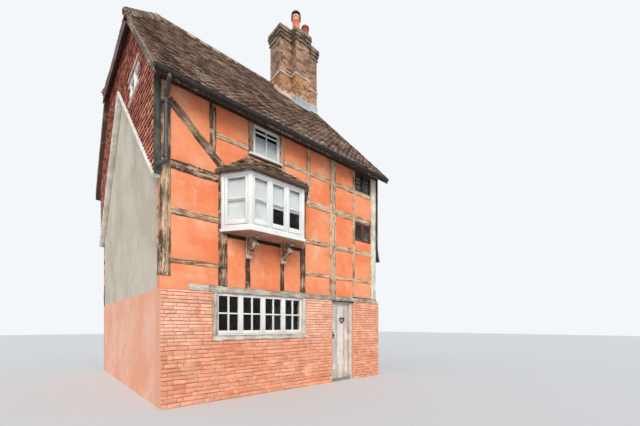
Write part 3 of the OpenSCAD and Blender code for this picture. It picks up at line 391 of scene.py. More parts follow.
grainGroup = makeGroup("timberGrain", {
    "Vector": "Vector", "Place": "Vector", "Tone": "Float", "Light": "Color", "Dark": "Color",
    "Smear": "Color", "Smears": "Float", "Cracks": "Float"}, grainEffect)
coatGroup = makeGroup("patchyCoat", {
    "Vector": "Vector", "Size": "Float", "Main": "Color", "Second": "Color", "Third": "Color",
    "Thirds": "Float"}, coatEffect)
clayGroup = makeGroup("burntClay", {
    "Vector": "Vector", "Tone": "Float", "Low": "Color", "Middle": "Color", "High": "Color",
    "Lichen": "Color", "Lichens": "Float"}, clayEffect)


# Materials: a colour is red, green and blue as it looks, 0 to 255

def startMaterial(name, roughness, **constants):
    material = bpy.data.materials.new(name)
    material.use_nodes = True
    shader = material.node_tree.nodes["Principled BSDF"]
    for key, value in {"Roughness": roughness, **constants}.items():
        shader.inputs[key].default_value = value
    return material, material.node_tree, shader


def finishMaterial(tree, shader, colour, height, strength, distance):
    tree.links.new(colour, shader.inputs["Base Color"])
    bump = put(tree, "ShaderNodeBump", {"Height": height, "Strength": strength, "Distance": distance})
    tree.links.new(bump[0], shader.inputs["Normal"])


def attributeOf(tree, name, output):
    return put(tree, "ShaderNodeAttribute", attribute_name=name)[output]


def objectPlace(tree):
    return put(tree, "ShaderNodeTexCoord")["Object"]


def placeAxes(tree):
    return put(tree, "ShaderNodeSeparateXYZ", {0: objectPlace(tree)})


def patchyCoat(tree, size, main, second, third, thirds):
    values = {"Vector": objectPlace(tree), "Size": size, "Main": srgb(main), "Second": srgb(second),
              "Third": srgb(third), "Thirds": thirds}
    return put(tree, "ShaderNodeGroup", values, node_tree=coatGroup)


def burntClay(tree, low, middle, high, lichen, lichens):
    values = {"Vector": objectPlace(tree), "Tone": attributeOf(tree, "tone", "Fac"), "Low": srgb(low),
              "Middle": srgb(middle), "High": srgb(high), "Lichen": srgb(lichen), "Lichens": lichens}
    return put(tree, "ShaderNodeGroup", values, node_tree=clayGroup)


def timberMaterial(name, light, dark, smear, smears, roughness=0.82, strength=0.9, alongX=False, cracks=1.0):
    # the grain follows each bar's own attribute, or the X axis on a CAD node that has none
    material, tree, shader = startMaterial(name, roughness)
    place = objectPlace(tree)
    vector = place if alongX else attributeOf(tree, "grain", "Vector")
    tone = 0.5 if alongX else attributeOf(tree, "tone", "Fac")
    values = {"Vector": vector, "Place": place, "Tone": tone, "Light": srgb(light), "Dark": srgb(dark),
              "Smear": srgb(smear), "Smears": smears, "Cracks": cracks}
    made = put(tree, "ShaderNodeGroup", values, node_tree=grainGroup)
    finishMaterial(tree, shader, made["Color"], made["Height"], strength, 0.006)
    return material


def coatMaterial(name, size, main, second, third, thirds, roughness=0.85, strength=0.5, distance=0.006):
    material, tree, shader = startMaterial(name, roughness)
    made = patchyCoat(tree, size, main, second, third, thirds)
    finishMaterial(tree, shader, made["Color"], made["Height"], strength, distance)
    return material


def clayMaterial(name, *colours):
    material, tree, shader = startMaterial(name, 0.85)
    made = burntClay(tree, *colours)
    finishMaterial(tree, shader, made["Color"], made["Height"], 0.6, 0.004)
    return material


def washedBrickMaterial():
    # limewash brushed over bricks: soft patches wider than a brick, each brick a little lighter or darker,
    # and deeper in colour towards the ground
    material, tree, shader = startMaterial("paintedBrick", 0.85)
    made = patchyCoat(tree, 1.0, (236, 162, 126), (242, 190, 162), (228, 138, 98), 0.6)
    shade = span(tree, attributeOf(tree, "tone", "Fac"), 0.0, 1.0, 0.86, 1.07)
    low = span(tree, placeAxes(tree)[2], 1.0, 1.35, 0.5, 0.0)
    colour = blend(tree, low, made["Color"], srgb((220, 138, 98)))
    finishMaterial(tree, shader, blend(tree, 1.0, colour, shade, "MULTIPLY"), made["Height"], 0.7, 0.006)
    return material


def mortarMaterial():
    # joints between the painted bricks, darker than the bricks: painted shade in the recessed joints; the
    # wall's left end and the door's reveals are painted plain
    material, tree, shader = startMaterial("shadedJointMortar", 0.85)
    made = patchyCoat(tree, 3.0, (164, 92, 66), (198, 120, 90), (124, 70, 52), 0.5)
    across = placeAxes(tree)[0]
    plain = span(tree, across, -3.077, -3.075, 1.0, 0.0)
    for jamb in doorway:
        away = maths(tree, "ABSOLUTE", maths(tree, "SUBTRACT", across, jamb + corner[0]))
        plain = maths(tree, "MAXIMUM", plain, span(tree, away, 0.003, 0.005, 1.0, 0.0))
    colour = blend(tree, plain, made["Color"], srgb((232, 168, 136)))
    finishMaterial(tree, shader, colour, made["Height"], 0.5, 0.006)
    return material


def chimneyBrickMaterial():
    # pinkish brown bricks, their lowest courses under the drip line mottled with orange
    material, tree, shader = startMaterial("chimneyBrick", 0.85)
    made = burntClay(tree, (104, 72, 58), (160, 118, 96), (200, 158, 130), (178, 170, 148), 0.5)
    place, height = objectPlace(tree), placeAxes(tree)[2]
    low = times(tree, span(tree, height, 10.33, 10.37, 1.0, 0.0), span(tree, height, 9.3, 9.7))
    low = times(tree, low, span(tree, noise(tree, place, 7.0, 4.0, 0.7), 0.42, 0.6))
    fleck = span(tree, noise(tree, place, 15.0, 3.0, 0.7), 0.40, 0.62, 0.72, 1.22)
    colour = blend(tree, times(tree, low, 0.8), made["Color"], srgb((206, 142, 72)))
    finishMaterial(tree, shader, blend(tree, 1.0, colour, fleck, "MULTIPLY"), made["Height"], 0.8, 0.004)
    return material


def potMaterial():
    # the left pot is orange with a paler rim, the right one a browner red
    material, tree, shader = startMaterial("chimneyPots", 0.8)
    axes = placeAxes(tree)
    made = patchyCoat(tree, 5.0, (228, 124, 80), (210, 102, 66), (168, 92, 66), 0.5)
    colour = blend(tree, span(tree, axes[2], 12.86, 12.90), made["Color"], srgb((224, 164, 146)))
    browner = blend(tree, 1.0, made["Color"], srgb((186, 166, 176)), "MULTIPLY")
    colour = blend(tree, span(tree, axes[0], 2.66, 2.68), colour, browner)
    finishMaterial(tree, shader, colour, made["Height"], 0.5, 0.006)
    return material


def glassMaterial():
    # daylight falls through the panes onto the blinds behind them
    material, tree, shader = startMaterial("windowGlass", 0.03, **{"Transmission Weight": 1.0, "IOR": 1.2})
    waviness = noise(tree, objectPlace(tree), 2.5, 2.0)
    tint = blend(tree, waviness, srgb((236, 242, 242)), srgb((248, 250, 250)))
    finishMaterial(tree, shader, tint, waviness, 0.15, 0.004)
    shadowRay = put(tree, "ShaderNodeLightPath")["Is Shadow Ray"]
    tree.links.new(maths(tree, "MULTIPLY_ADD", shadowRay, -0.92, 1.0), shader.inputs["Alpha"])
    return material


limewash = coatMaterial("limewash", 1.0, (234, 126, 78), (238, 152, 108), (232, 178, 146), 0.6)
salmonCoat = coatMaterial("salmonCoat", 1.0, (234, 164, 130), (240, 188, 162), (214, 132, 100), 0.5)
plaster = coatMaterial("partyPlaster", 1.0, (206, 196, 178), (190, 178, 158), (170, 155, 135), 0.5)
floorBoards = coatMaterial("floorBoards", 4.0, (140, 108, 72), (110, 82, 52), (80, 58, 36), 0.4)
floorStone = coatMaterial("floorStone", 3.0, (150, 142, 128), (126, 118, 104), (98, 90, 78), 0.4)
chimneyMortar = coatMaterial("chimneyMortar", 4.0, (190, 168, 142), (164, 140, 116), (110, 88, 70), 0.5)
whiteMortar = coatMaterial("whiteMortar", 4.0, (232, 228, 218), (214, 206, 192), (186, 174, 156), 0.4)
paleMortar = coatMaterial("paleMortar", 5.0, (224, 212, 190), (200, 184, 158), (164, 146, 118), 0.5)
pinkMortar = coatMaterial("pinkMortar", 5.0, (214, 190, 178), (196, 168, 150), (160, 132, 112), 0.4)
vergeBed = coatMaterial("vergeBed", 5.0, (150, 128, 108), (126, 104, 88), (98, 80, 66), 0.4)
shadedCreasingTile = coatMaterial("shadedCreasingTile", 5.0, (70, 52, 44), (92, 70, 58), (120, 102, 80), 0.4)
tanBoard = coatMaterial("tanBoard", 3.0, (206, 184, 158), (184, 158, 130), (150, 124, 100), 0.4)
soffitBoard = coatMaterial("soffitBoard", 3.0, (190, 144, 116), (160, 118, 94), (112, 80, 62), 0.4)
leadSheet = coatMaterial("leadSheet", 2.0, (150, 158, 164), (184, 190, 194), (206, 208, 206), 0.5, 0.55, 0.25)
blindCloth = coatMaterial("blindCloth", 2.0, (193, 193, 194), (187, 187, 189), (180, 180, 183), 0.3, 0.9, 0.1,
                          0.001)
blackIron = coatMaterial("blackIron", 6.0, (24, 24, 25), (36, 36, 36), (66, 62, 54), 0.3, 0.6, 0.3, 0.002)
gutterPaint = coatMaterial("gutterPaint", 6.0, (30, 26, 22), (48, 42, 34), (96, 88, 66), 0.35, 0.7, 0.3,
                           0.002)
pipePaint = coatMaterial("pipePaint", 6.0, (58, 58, 60), (78, 78, 80), (108, 106, 100), 0.35, 0.5, 0.3, 0.002)
whitePaint = coatMaterial("whitePaint", 3.0, (236, 235, 231), (226, 225, 219), (200, 196, 184), 0.3, 0.42,
                          0.12, 0.002)
brownPaint = coatMaterial("brownPaint", 5.0, (104, 54, 42), (72, 38, 32), (124, 84, 68), 0.4, 0.5, 0.2, 0.002)
slatePaint = coatMaterial("slatePaint", 5.0, (52, 48, 46), (40, 38, 38), (96, 88, 80), 0.3, 0.5, 0.2, 0.002)
roofTile = clayMaterial("roofTile", (88, 64, 52), (138, 108, 91), (184, 156, 137), (210, 204, 184), 0.6)
orielTile = clayMaterial("orielTile", (82, 60, 48), (156, 120, 98), (212, 180, 154), (190, 184, 150), 0.7)
hungTile = clayMaterial("hungTile", (140, 70, 54), (186, 108, 84), (224, 156, 126), (186, 160, 136), 0.4)
crownBrick = clayMaterial("crownBrick", (60, 47, 38), (116, 94, 74), (158, 138, 112), (192, 184, 152), 0.6)
oak = timberMaterial("oakFrame", (226, 190, 152), (76, 51, 36), (232, 190, 156), 0.45)
greyOak = timberMaterial("weatheredOak", (216, 206, 190), (150, 136, 120), (226, 204, 184), 0.4, cracks=0.45)
paleOak = timberMaterial("paleOak", (224, 212, 196), (156, 140, 122), (232, 216, 200), 0.4, cracks=0.4)
creamOak = timberMaterial("creamOak", (238, 232, 210), (170, 156, 128), (246, 242, 226), 0.6, cracks=0.7)
shadedOak = timberMaterial("shadedOak", (78, 58, 44), (34, 25, 20), (112, 84, 64), 0.2)
carvedOak = timberMaterial("carvedOak", (228, 208, 182), (112, 86, 64), (234, 216, 194), 0.3, 0.8, 0.5,
                           cracks=0.5)
plateOak = timberMaterial("plateOak", (104, 80, 58), (58, 42, 30), (140, 100, 76), 0.25, alongX=True)
darkBoard = timberMaterial("darkBoard", (88, 90, 80), (44, 46, 42), (110, 108, 98), 0.3)
boarding = timberMaterial("gableBoarding", (132, 122, 106), (56, 48, 40), (150, 142, 128), 0.3)
doorPaint = timberMaterial("doorBoards", (240, 230, 220), (192, 180, 170), (222, 210, 200), 0.4, 0.6, 0.4,
                           cracks=0.4)
paintedBrick, shadedJointMortar = washedBrickMaterial(), mortarMaterial()
chimneyBrick, terracotta, windowGlass = chimneyBrickMaterial(), potMaterial(), glassMaterial()
print("materials ready")

cadFinish = [
    (floorStone, "ground_floor threshold"), (salmonCoat, "mortar_shoulder brick_left"),
    (shadedJointMortar, "brick_front_left brick_front_right brick_right brick_rear"),
    (floorBoards, "first_floor second_floor loft_floor"), (plateOak, "wall_plates"),
    (hungTile, "tile_hanging"), (plaster, "left_gable_wall right_gable_wall mortar_fillet chimney_breast"),
    (roofTile, "roof_front roof_rear roof_half_hip ridge_tiles hip_tiles"), (orielTile, "oriel_roof"),
    (gutterPaint, "gutters"), (pipePaint, "downpipe"), (chimneyMortar, "chimney_stack chimney_crown"),
    (leadSheet, "chimney_lead"), (terracotta, "chimney_pots"), (brownPaint, "small_window_frames"),
    (whitePaint, "oriel_base eaves_window_frame gable_window_frame"), (windowGlass, "window_glass"),
    (blackIron, "chimney_cowl door_straps door_pintles door_latch"),
]
for finish, nodeNames in cadFinish:
    for nodeName in nodeNames.split():
        cadNodes[nodeName].data.materials.clear()
        cadNodes[nodeName].data.materials.append(finish)


# The oak frame: posts are left edge, width, foot and head; rails are ends, underside and height

frontOak = {
    "posts": [(0.0, 0.18, 2.45, 6.0), (5.93, 0.23, 2.33, 6.0), (1.10, 0.19, 2.33, 4.64),
              (3.21, 0.16, 2.33, 4.64), (4.22, 0.22, 2.33, 6.0), (5.13, 0.08, 2.33, 6.0),
              (3.42, 0.11, 4.72, 6.0), (1.7125, 0.11, 2.33, 3.445), (2.615, 0.11, 2.33, 3.445),
              (1.78, 0.12, 4.80, 6.0), (2.61, 0.12, 4.80, 6.0), (0.92, 0.125, 5.03, 6.0)],
    "rails": [(0.18, 1.10, 2.69, 0.09), (0.18, 1.10, 3.60, 0.13), (0.18, 1.10, 4.44, 0.18),
              (1.10, 3.37, 4.64, 0.16), (3.37, 5.93, 2.79, 0.09), (3.37, 5.93, 3.60, 0.13),
              (3.37, 5.93, 4.54, 0.18), (1.045, 1.78, 5.34, 0.12), (2.73, 5.93, 5.34, 0.12)],
    "brace": {"top": (0.18, 5.68), "foot": (1.1633, 4.80), "width": 0.16},
    "beams": [(0.50, 0.89), (0.893, 3.387), (3.39, 4.247), (4.25, 6.157)],
    "windowHoles": [(1.90, 2.61, 5.27, 6.0), (5.21, 5.93, 4.0, 4.54), (5.21, 5.93, 5.46, 6.0),
                    (1.29, 3.21, 3.5, 4.64)],
    "panelRecess": 0.014, "panelSwell": 0.011, "panelBack": 0.186, "bleachedPosts": 3.3, "bleachedRails": 2.7,
}


def braceBar():
    # the brace runs a little on at both ends, behind the post and the rail
    (topX, topZ), (footX, footZ) = frontOak["brace"]["top"], frontOak["brace"]["foot"]
    reach = np.array([0.03, 0, -0.03 * (topZ - footZ) / (footX - topX)])
    return timberBar(np.array([topX, -0.006, topZ]) - reach, np.array([footX, -0.006, footZ]) + reach,
                     frontNormal, frontOak["brace"]["width"], wallThickness, 57, wobble=0.010, tone=0.32)


def frontPostBars():
    # the timbers right of the oriel are bleached, those under it and the stud in the left bay are dark
    darkTones = {0.92: 0.25, 1.7125: 0.12, 2.615: 0.12, 3.21: 0.28}
    bars = []
    for index, (left, width, foot, head) in enumerate(frontOak["posts"]):
        tone = 0.82 if left > frontOak["bleachedPosts"] else darkTones.get(left)
        wobble = 0.008 if width > 0.1 else 0.004
        bars.append(postBar(left, width, foot, head, seed=100 + index, wobble=wobble, tone=tone))
    return bars


def frontRailBars():
    # the rails stand a hair behind the posts, so that the posts read as running through
    return [railBar(*rail, seed=140 + index, proud=0.001, wobble=0.009,
                    tone=0.86 if rail[0] > frontOak["bleachedRails"] else None)
            for index, rail in enumerate(frontOak["rails"])]


def coatHeights(x, z, timbers, isFront):
    # depth of the limewash behind the timbers' faces: deepest beside a timber, swelling in between,
    # with broad waves and small lumps
    gap = np.full(x.shape, 9.0)
    for left, right, foot, head in timbers:
        gap = np.minimum(gap, np.hypot(np.maximum(np.maximum(left - x, x - right), 0),
                                       np.maximum(np.maximum(foot - z, z - head), 0)))
    recess, seed = frontOak["panelRecess"], 1 if isFront else 2
    if isFront:
        (topX, topZ), (footX, footZ) = frontOak["brace"]["top"], frontOak["brace"]["foot"]
        run = np.array([footX - topX, footZ - topZ])
        share = np.clip(((x - topX) * run[0] + (z - topZ) * run[1]) / (run @ run), 0, 1)
        away = np.hypot(x - topX - share * run[0], z - topZ - share * run[1])
        gap = np.minimum(gap, np.maximum(away - frontOak["brace"]["width"] / 2, 0))
        recess = np.where((x < 0.1) & (z > 2.52), 0.12, recess)  # well back, inside the corner post
    rise = np.clip(gap / 0.10, 0, 1)
    rise = rise * rise * (3 - 2 * rise)
    spots = np.stack([x, z], -1)
    lumps = 0.003 * ripple(spots, 0.7, seed + 5) + 0.0012 * ripple(spots, 0.16, seed + 6)
    return recess - frontOak["panelSwell"] * rise - lumps


def coatSlab(timbers, holes, spacing, isFront):
    # a grid over the wall, finer lines added at window edges, with its cells in the holes left out;
    # the back is flat, and every open edge gets a side face
    def lines(low, high, first):
        edges = [value for hole in holes for value in hole[first:first + 2]] + [low, high]
        edges = np.unique(np.round(edges, 4))
        even = np.linspace(low, high, int(round((high - low) / spacing)) + 1)
        apart = np.abs(even[:, None] - edges[None]).min(1) > spacing * 0.3
        return np.unique(np.concatenate([even[apart], edges]))

    x, z = np.meshgrid(lines(0.0, houseLength, 0), lines(beamFoot, plateFoot, 2))
    middleX, middleZ = (x[:-1, :-1] + x[1:, 1:]) / 2, (z[:-1, :-1] + z[1:, 1:]) / 2
    kept = np.ones(middleX.shape, bool)
    for left, right, foot, head in holes:
        kept &= ~((middleX > left) & (middleX < right) & (middleZ > foot) & (middleZ < head))
    front = np.stack([x, coatHeights(x, z, timbers + holes, isFront), z], -1)
    return gridSlab(front, np.stack([x, np.full_like(x, frontOak["panelBack"]), z], -1), kept)


def makeOakFrame():
    posts = [(x, x + width, foot, head) for x, width, foot, head in frontOak["posts"]]
    rails = [(left, right, foot, foot + height) for left, right, foot, height in frontOak["rails"]]
    beams = [(left, right, beamFoot, beamTop) for left, right in frontOak["beams"]]
    bars = frontPostBars()
    buildPiece("frontPosts", bars[:1] + bars[2:], oak, ["front_posts"])
    buildPiece("paleCornerPost", bars[1:2], creamOak, ["front_posts"])
    buildPiece("frontRails", frontRailBars(), oak, ["front_rails"])
    buildPiece("frontBrace", [braceBar()], oak, ["front_brace"])
    coat = coatSlab(posts + rails + beams, frontOak["windowHoles"], 0.03, True)
    buildPiece("limewashFront", [coat], limewash, ["front_panels"])
    middleZ, height = (beamFoot + beamTop) / 2, beamTop - beamFoot + 0.012
    bars = [timberBar([left, -0.012, middleZ], [right, -0.012, middleZ], frontNormal, height, wallThickness,
                      180 + index, wobble=0.010, step=0.05, tone=0.7 - 0.15 * index)
            for index, (left, right) in enumerate(frontOak["beams"])]
    buildPiece("frontBeams", bars, greyOak, ["front_beams"])


rearOak = {
    "posts": [(0.0, 0.18), (1.10, 0.19), (3.21, 0.16), (4.22, 0.22), (5.13, 0.08), (5.93, 0.23)],
    "rails": [(2.20, 0.13), (2.79, 0.09), (3.60, 0.13), (4.54, 0.18), (5.34, 0.12)],
}


def makeRearFrame():
    # set out like the front and then carried to the rear
    posts = [(x, x + width, beamTop, plateFoot) for x, width in rearOak["posts"]]
    rails = [(0.0, houseLength, foot, foot + height) for foot, height in rearOak["rails"]]
    bars = [postBar(x, width, beamTop, plateFoot, seed=300 + index, wobble=0.006)
            for index, (x, width) in enumerate(rearOak["posts"])]
    buildPiece("rearPosts", toRear(bars), oak, ["rear_posts"])
    bars = [railBar(0.0, houseLength, foot, height, seed=320 + index, proud=0.001, wobble=0.007)
            for index, (foot, height) in enumerate(rearOak["rails"])]
    buildPiece("rearRails", toRear(bars), oak, ["rear_rails"])
    coat = coatSlab(posts + rails, frontOak["windowHoles"][1:3], 0.045, False)
    buildPiece("limewashRear", toRear([coat]), limewash, ["rear_panels"])


makeOakFrame()
makeRearFrame()


# Brickwork: courses of bricks raised from the CAD walls, which show between them as mortar

def layCourses(left, right, foot, head, holes, heights, brickLength, random):
    # fills each course between its ends and the holes with bricks and headers; the last one is cut
    bricks = []
    z, course = foot, 0
    while z < head - 0.02:
        height = min(heights(z, random), head - z)
        if head - z - height < 0.03:
            height = head - z
        ends = [left]
        for holeLeft, holeRight, holeFoot, holeHead in sorted(holes):
            if holeFoot < z + height - 0.005 and holeHead > z + 0.005:
                ends += [holeLeft, holeRight]
        ends.append(right)
        for low, high in zip(ends[::2], ends[1::2]):
            if high - low < 0.03:
                continue
            shares = np.where(random.random(200) < 0.28, 0.5, 1.0)
            lengths = brickLength * shares * random.uniform(0.94, 1.06, 200)
            lengths[0] *= (1.0, 0.5)[course % 2]
            joints = low + np.concatenate([[0], np.cumsum(lengths)])
            joints = joints[joints < high - 0.06]
            joints = np.append(joints, high)
            bricks += [(a, b, z, z + height) for a, b in zip(joints[:-1], joints[1:])]
        z += height
        course += 1
    return np.array(bricks)


def raiseBricks(bricks, origin, along, outward, proud, joint, seed, roughness=0.003, upright=1.0,
                roughBelow=0.0):
    # each brick is three rings of four points: foot, shoulder and face, the face drawn in by its worn edge
    random = np.random.default_rng(seed)
    origin, along, outward = (np.asarray(value, float) for value in (origin, along, outward))
    corners, count = cutBox["corners"], len(bricks)
    gap = np.array([joint * upright, joint]) / 2
    low, high = bricks[:, [0, 2]] + gap, bricks[:, [1, 3]] - gap
    roughness = roughness * np.where(bricks[:, 2] < roughBelow, 2.3, 1.0)[:, None, None]
    reach = proud * random.uniform(0.7, 1.25, count)
    edge = 0.005
    rings = []
    for inset, height in ((0, -0.004), (0.001, 0.55), (edge, 1.0)):
        flat = low[:, None] + inset + (high - low - 2 * inset)[:, None] * corners[None]
        depth = np.full((count, 4), -0.004) if height < 0 else np.repeat(reach[:, None] * height, 4, 1)
        rings.append(np.concatenate([flat, depth[..., None]], -1))
    local = np.concatenate(rings, 1)
    wander = np.stack([ripple(local[..., :2], 0.19, seed + index) for index in range(3)], -1)
    local[:, 4:] += roughness * (wander[:, 4:] * [1.0, 1.0, 0.6]
                                 + random.uniform(-0.4, 0.4, (count, 8, 3)) * [1.0, 1.0, 0.5])
    local[..., 1] = np.maximum(local[..., 1], bricks[:, 2].min())
    points = origin + local[..., :1] * along + local[..., 1:2] * upward + local[..., 2:] * outward
    quads = cutBox["quads"] if np.cross(along, upward) @ outward > 0 else cutBox["quads"][:, ::-1]
    return patch(points, [copies(quads, count, 12)], np.repeat(random.uniform(0, 1, count), 12))


groundBrick = {
    "proud": 0.010, "joint": 0.012, "course": 0.068, "length": 0.222, "roughHeight": 1.18,
    "front": -0.025, "end": 6.255, "window": (0.963, 3.37, 1.21, 2.2),
}


def groundHeights(z, random):
    # even courses above the sill, larger and rougher ones below it
    if z < groundBrick["roughHeight"]:
        return groundBrick["course"] * random.uniform(1.0, 1.35)
    return groundBrick["course"] * random.uniform(0.96, 1.04)


def makeGroundBricks():
    front, end, window = groundBrick["front"], groundBrick["end"], groundBrick["window"]
    random = np.random.default_rng(31)

    def courses(left, right, *holes):
        return layCourses(left, right, 0.0, beamFoot, holes, groundHeights, groundBrick["length"], random)

    def raised(bricks, seed, origin=(0, front, 0), along=rightward, outward=frontNormal, **more):
        return raiseBricks(bricks, origin, along, outward, groundBrick["proud"], groundBrick["joint"], seed,
                           **more)

    worn = {"roughness": 0.0045, "upright": 0.4, "roughBelow": groundBrick["roughHeight"]}
    walls = [courses(0.0, doorway[0], window), courses(doorway[1], end)]
    parts = [raised(bricks, 400 + index, **worn) for index, bricks in enumerate(walls)]
    buildPiece("paintedBricksFront", parts, paintedBrick)
    parts = toRear([raised(courses(0.0, end, window), 410)])
    buildPiece("paintedBricksRear", parts, paintedBrick)
    side = courses(front, houseDepth - front)
    parts = [raised(side, 420, (end, 0, 0), np.array([0.0, 1.0, 0.0]), rightward)]
    buildPiece("paintedBricksSide", parts, paintedBrick)


makeGroundBricks()


# Roof: fields of cambered plain tiles laid over the CAD slopes

roof = {
    "pitch": math.radians(47.6), "hipPitch": math.radians(58.5), "eaveY": -0.30, "eaveZ": 6.04,
    "leftVerge": -0.20, "rightVerge": 6.36, "hipEaveX": -0.25, "hipEaveZ": 8.30,
    "gauge": 0.100, "tileWidth": 0.165, "tileThickness": 0.013, "camber": 0.006,
}
roof["ridgeY"] = houseDepth / 2
roof["ridgeZ"] = roof["eaveZ"] + (roof["ridgeY"] - roof["eaveY"]) * math.tan(roof["pitch"])
roof["slope"] = (roof["ridgeY"] - roof["eaveY"]) / math.cos(roof["pitch"])
roof["hipEaveY"] = (roof["hipEaveZ"] - roof["eaveZ"]) / math.tan(roof["pitch"]) + roof["eaveY"]
roof["vergeTopZ"] = roof["hipEaveZ"] + (roof["leftVerge"] - roof["hipEaveX"]) * math.tan(roof["hipPitch"])
roof["ridgeStartX"] = (roof["ridgeZ"] - roof["hipEaveZ"]) / math.tan(roof["hipPitch"]) + roof["hipEaveX"]


def tileTemplate():
    # a closed slab: four stations across with a raised middle, two along, bottom and top
    across = np.linspace(-0.5, 0.5, 4)
    layers = [np.stack([across, np.full(4, along), np.full(4, level)], -1)
              for level in (0, 1) for along in (0, 1)]
    quads = []
    for c in range(3):
        quads += [[8 + c, 9 + c, 13 + c, 12 + c], [4 + c, 5 + c, c + 1, c], [c, c + 1, 9 + c, 8 + c],
                  [12 + c, 13 + c, 5 + c, 4 + c]]
    quads += [[4, 0, 8, 12], [3, 7, 15, 11]]
    return np.concatenate(layers), np.tile(1 - (2 * across) ** 2, 4), np.array(quads)


def tileField(origin, along, up, outline, seed, holes=(), gauge=None, width=None, lift=0.012,
              unevenness=0.004, overhang=0.02, wave=0.008):
    # rows of tiles from the outline's foot upwards, every other row half a tile along; a tile stays
    # if its middle lies in the outline and out of the holes; its tail is lifted, its head sinks
    gauge, width = gauge or roof["gauge"], width or roof["tileWidth"]
    outline = np.asarray(outline, float)
    origin, along, up = (np.asarray(value, float) for value in (origin, along, up))
    outward = np.cross(along, up)
    random = np.random.default_rng(seed)
    low, high = outline.min(0), outline.max(0)
    rows = np.arange(int(math.ceil((high[1] - low[1]) / gauge)))
    columns = np.arange(int(math.ceil((high[0] - low[0]) / width)) + 2)
    row, column = np.meshgrid(rows, columns, indexing="ij")
    drift = random.uniform(-0.012, 0.012, len(rows))[:, None]
    u = low[0] + (column - 0.5 + 0.5 * (row % 2)) * width + drift
    s = low[1] + row * gauge - np.where(row == 0, overhang, 0)
    u, s, row = u.ravel(), s.ravel(), row.ravel()
    left = np.maximum(u - width / 2, low[0])
    right = np.minimum(u + width / 2, high[0])
    middle = np.stack([(left + right) / 2, np.minimum(s + gauge / 2, high[1] - 1e-4)], -1)
    kept = (right - left > width * 0.3) & inside(middle, outline)
    for hole in holes:
        kept &= ~inside(middle, np.asarray(hole, float))
    left, right, s, row = left[kept], right[kept], s[kept], row[kept]
    count = len(s)
    points, camber, quads = tileTemplate()
    length = gauge + 0.045 + np.where(row == 0, overhang, 0)
    room = high[1] - s
    length = np.minimum(length, np.maximum(room, gauge * 0.4))
    spread = (right - left) - 0.004
    local = np.empty((count, 16, 3))
    local[..., 0] = (left + right)[:, None] / 2 + points[None, :, 0] * spread[:, None]
    slip = random.uniform(-0.004, 0.004, count)
    local[..., 1] = (s + slip)[:, None] + points[None, :, 1] * length[:, None]
    tail = lift + random.uniform(-unevenness, unevenness, count)
    slant = (tail + 0.010)[:, None] * points[None, :, 1]
    thickness = roof["tileThickness"]
    twist = random.uniform(-1, 1, count)[:, None] * unevenness * points[None, :, 0]
    middlePoint = np.stack([(left + right) / 2, s], -1)
    swell = wave * (0.5 + 0.5 * ripple(middlePoint, 2.3, seed + 3))
    local[..., 2] = (tail + swell)[:, None] - slant + (points[None, :, 2] - 1) * thickness
    local[..., 2] += camber[None] * roof["camber"] * random.uniform(0.3, 1.4, count)[:, None] + twist
    world = origin + local[..., :1] * along + local[..., 1:2] * up + local[..., 2:] * outward
    return patch(world, [copies(quads, count, 16)], np.repeat(random.uniform(0.0, 1.0, count), 16))


stack = {"x0": 4.616, "x1": 6.276, "y0": 2.93, "y1": 3.57, "shaftX0": 5.086, "shaftX1": 5.686,
         "shaftOut": 0.27, "top": 11.58}


def slopeOutline():
    # X along the eave and distance up the slope, its left side cut by the half hip
    left, right, slope = roof["leftVerge"], roof["rightVerge"], roof["slope"]
    hipSlope = (roof["vergeTopZ"] - roof["eaveZ"]) / math.sin(roof["pitch"])
    return [(left, 0), (right, 0), (right, slope), (roof["ridgeStartX"], slope), (left, hipSlope)]


def slopeHeight(y):
    # height of the front or rear slope at a distance behind the front
    return roof["eaveZ"] + (np.minimum(y, houseDepth - y) - roof["eaveY"]) * math.tan(roof["pitch"])


def stackHoles(rear):
    # the stack's plan on a slope: its Y turned into distance up the slope
    def up(y):
        y = houseDepth - y if rear else y
        return (y - roof["eaveY"]) / math.cos(roof["pitch"])
    boxes = [(stack["x0"], stack["x1"], stack["y0"], stack["y1"]),
             (stack["shaftX0"], stack["shaftX1"], stack["y0"] - stack["shaftOut"],
              stack["y1"] + stack["shaftOut"])]
    return [[(x0, up(y0)), (x1, up(y0)), (x1, up(y1)), (x0, up(y1))] for x0, x1, y0, y1 in boxes]


def makeRoof():
    pitch, hipPitch = roof["pitch"], roof["hipPitch"]
    for name, isRear, seed in (("roofTilesFront", False, 501), ("roofTilesRear", True, 502)):
        tiles = tileField((0, roof["eaveY"], roof["eaveZ"]), rightward, (0, math.cos(pitch), math.sin(pitch)),
                          slopeOutline(), seed, stackHoles(isRear))
        buildPiece(name, toRear([tiles]) if isRear else [tiles], roofTile)
    reach = (roof["ridgeZ"] - roof["hipEaveZ"]) / math.sin(hipPitch)
    outline = [(roof["hipEaveY"] - houseDepth, 0), (-roof["hipEaveY"], 0), (-roof["ridgeY"], reach)]
    hip = tileField((roof["hipEaveX"] + 0.008, 0, roof["hipEaveZ"]), frontNormal,
                    (math.cos(hipPitch), 0, math.sin(hipPitch)), outline, 503, overhang=0.0)
    buildPiece("roofTilesHip", [hip], roofTile)


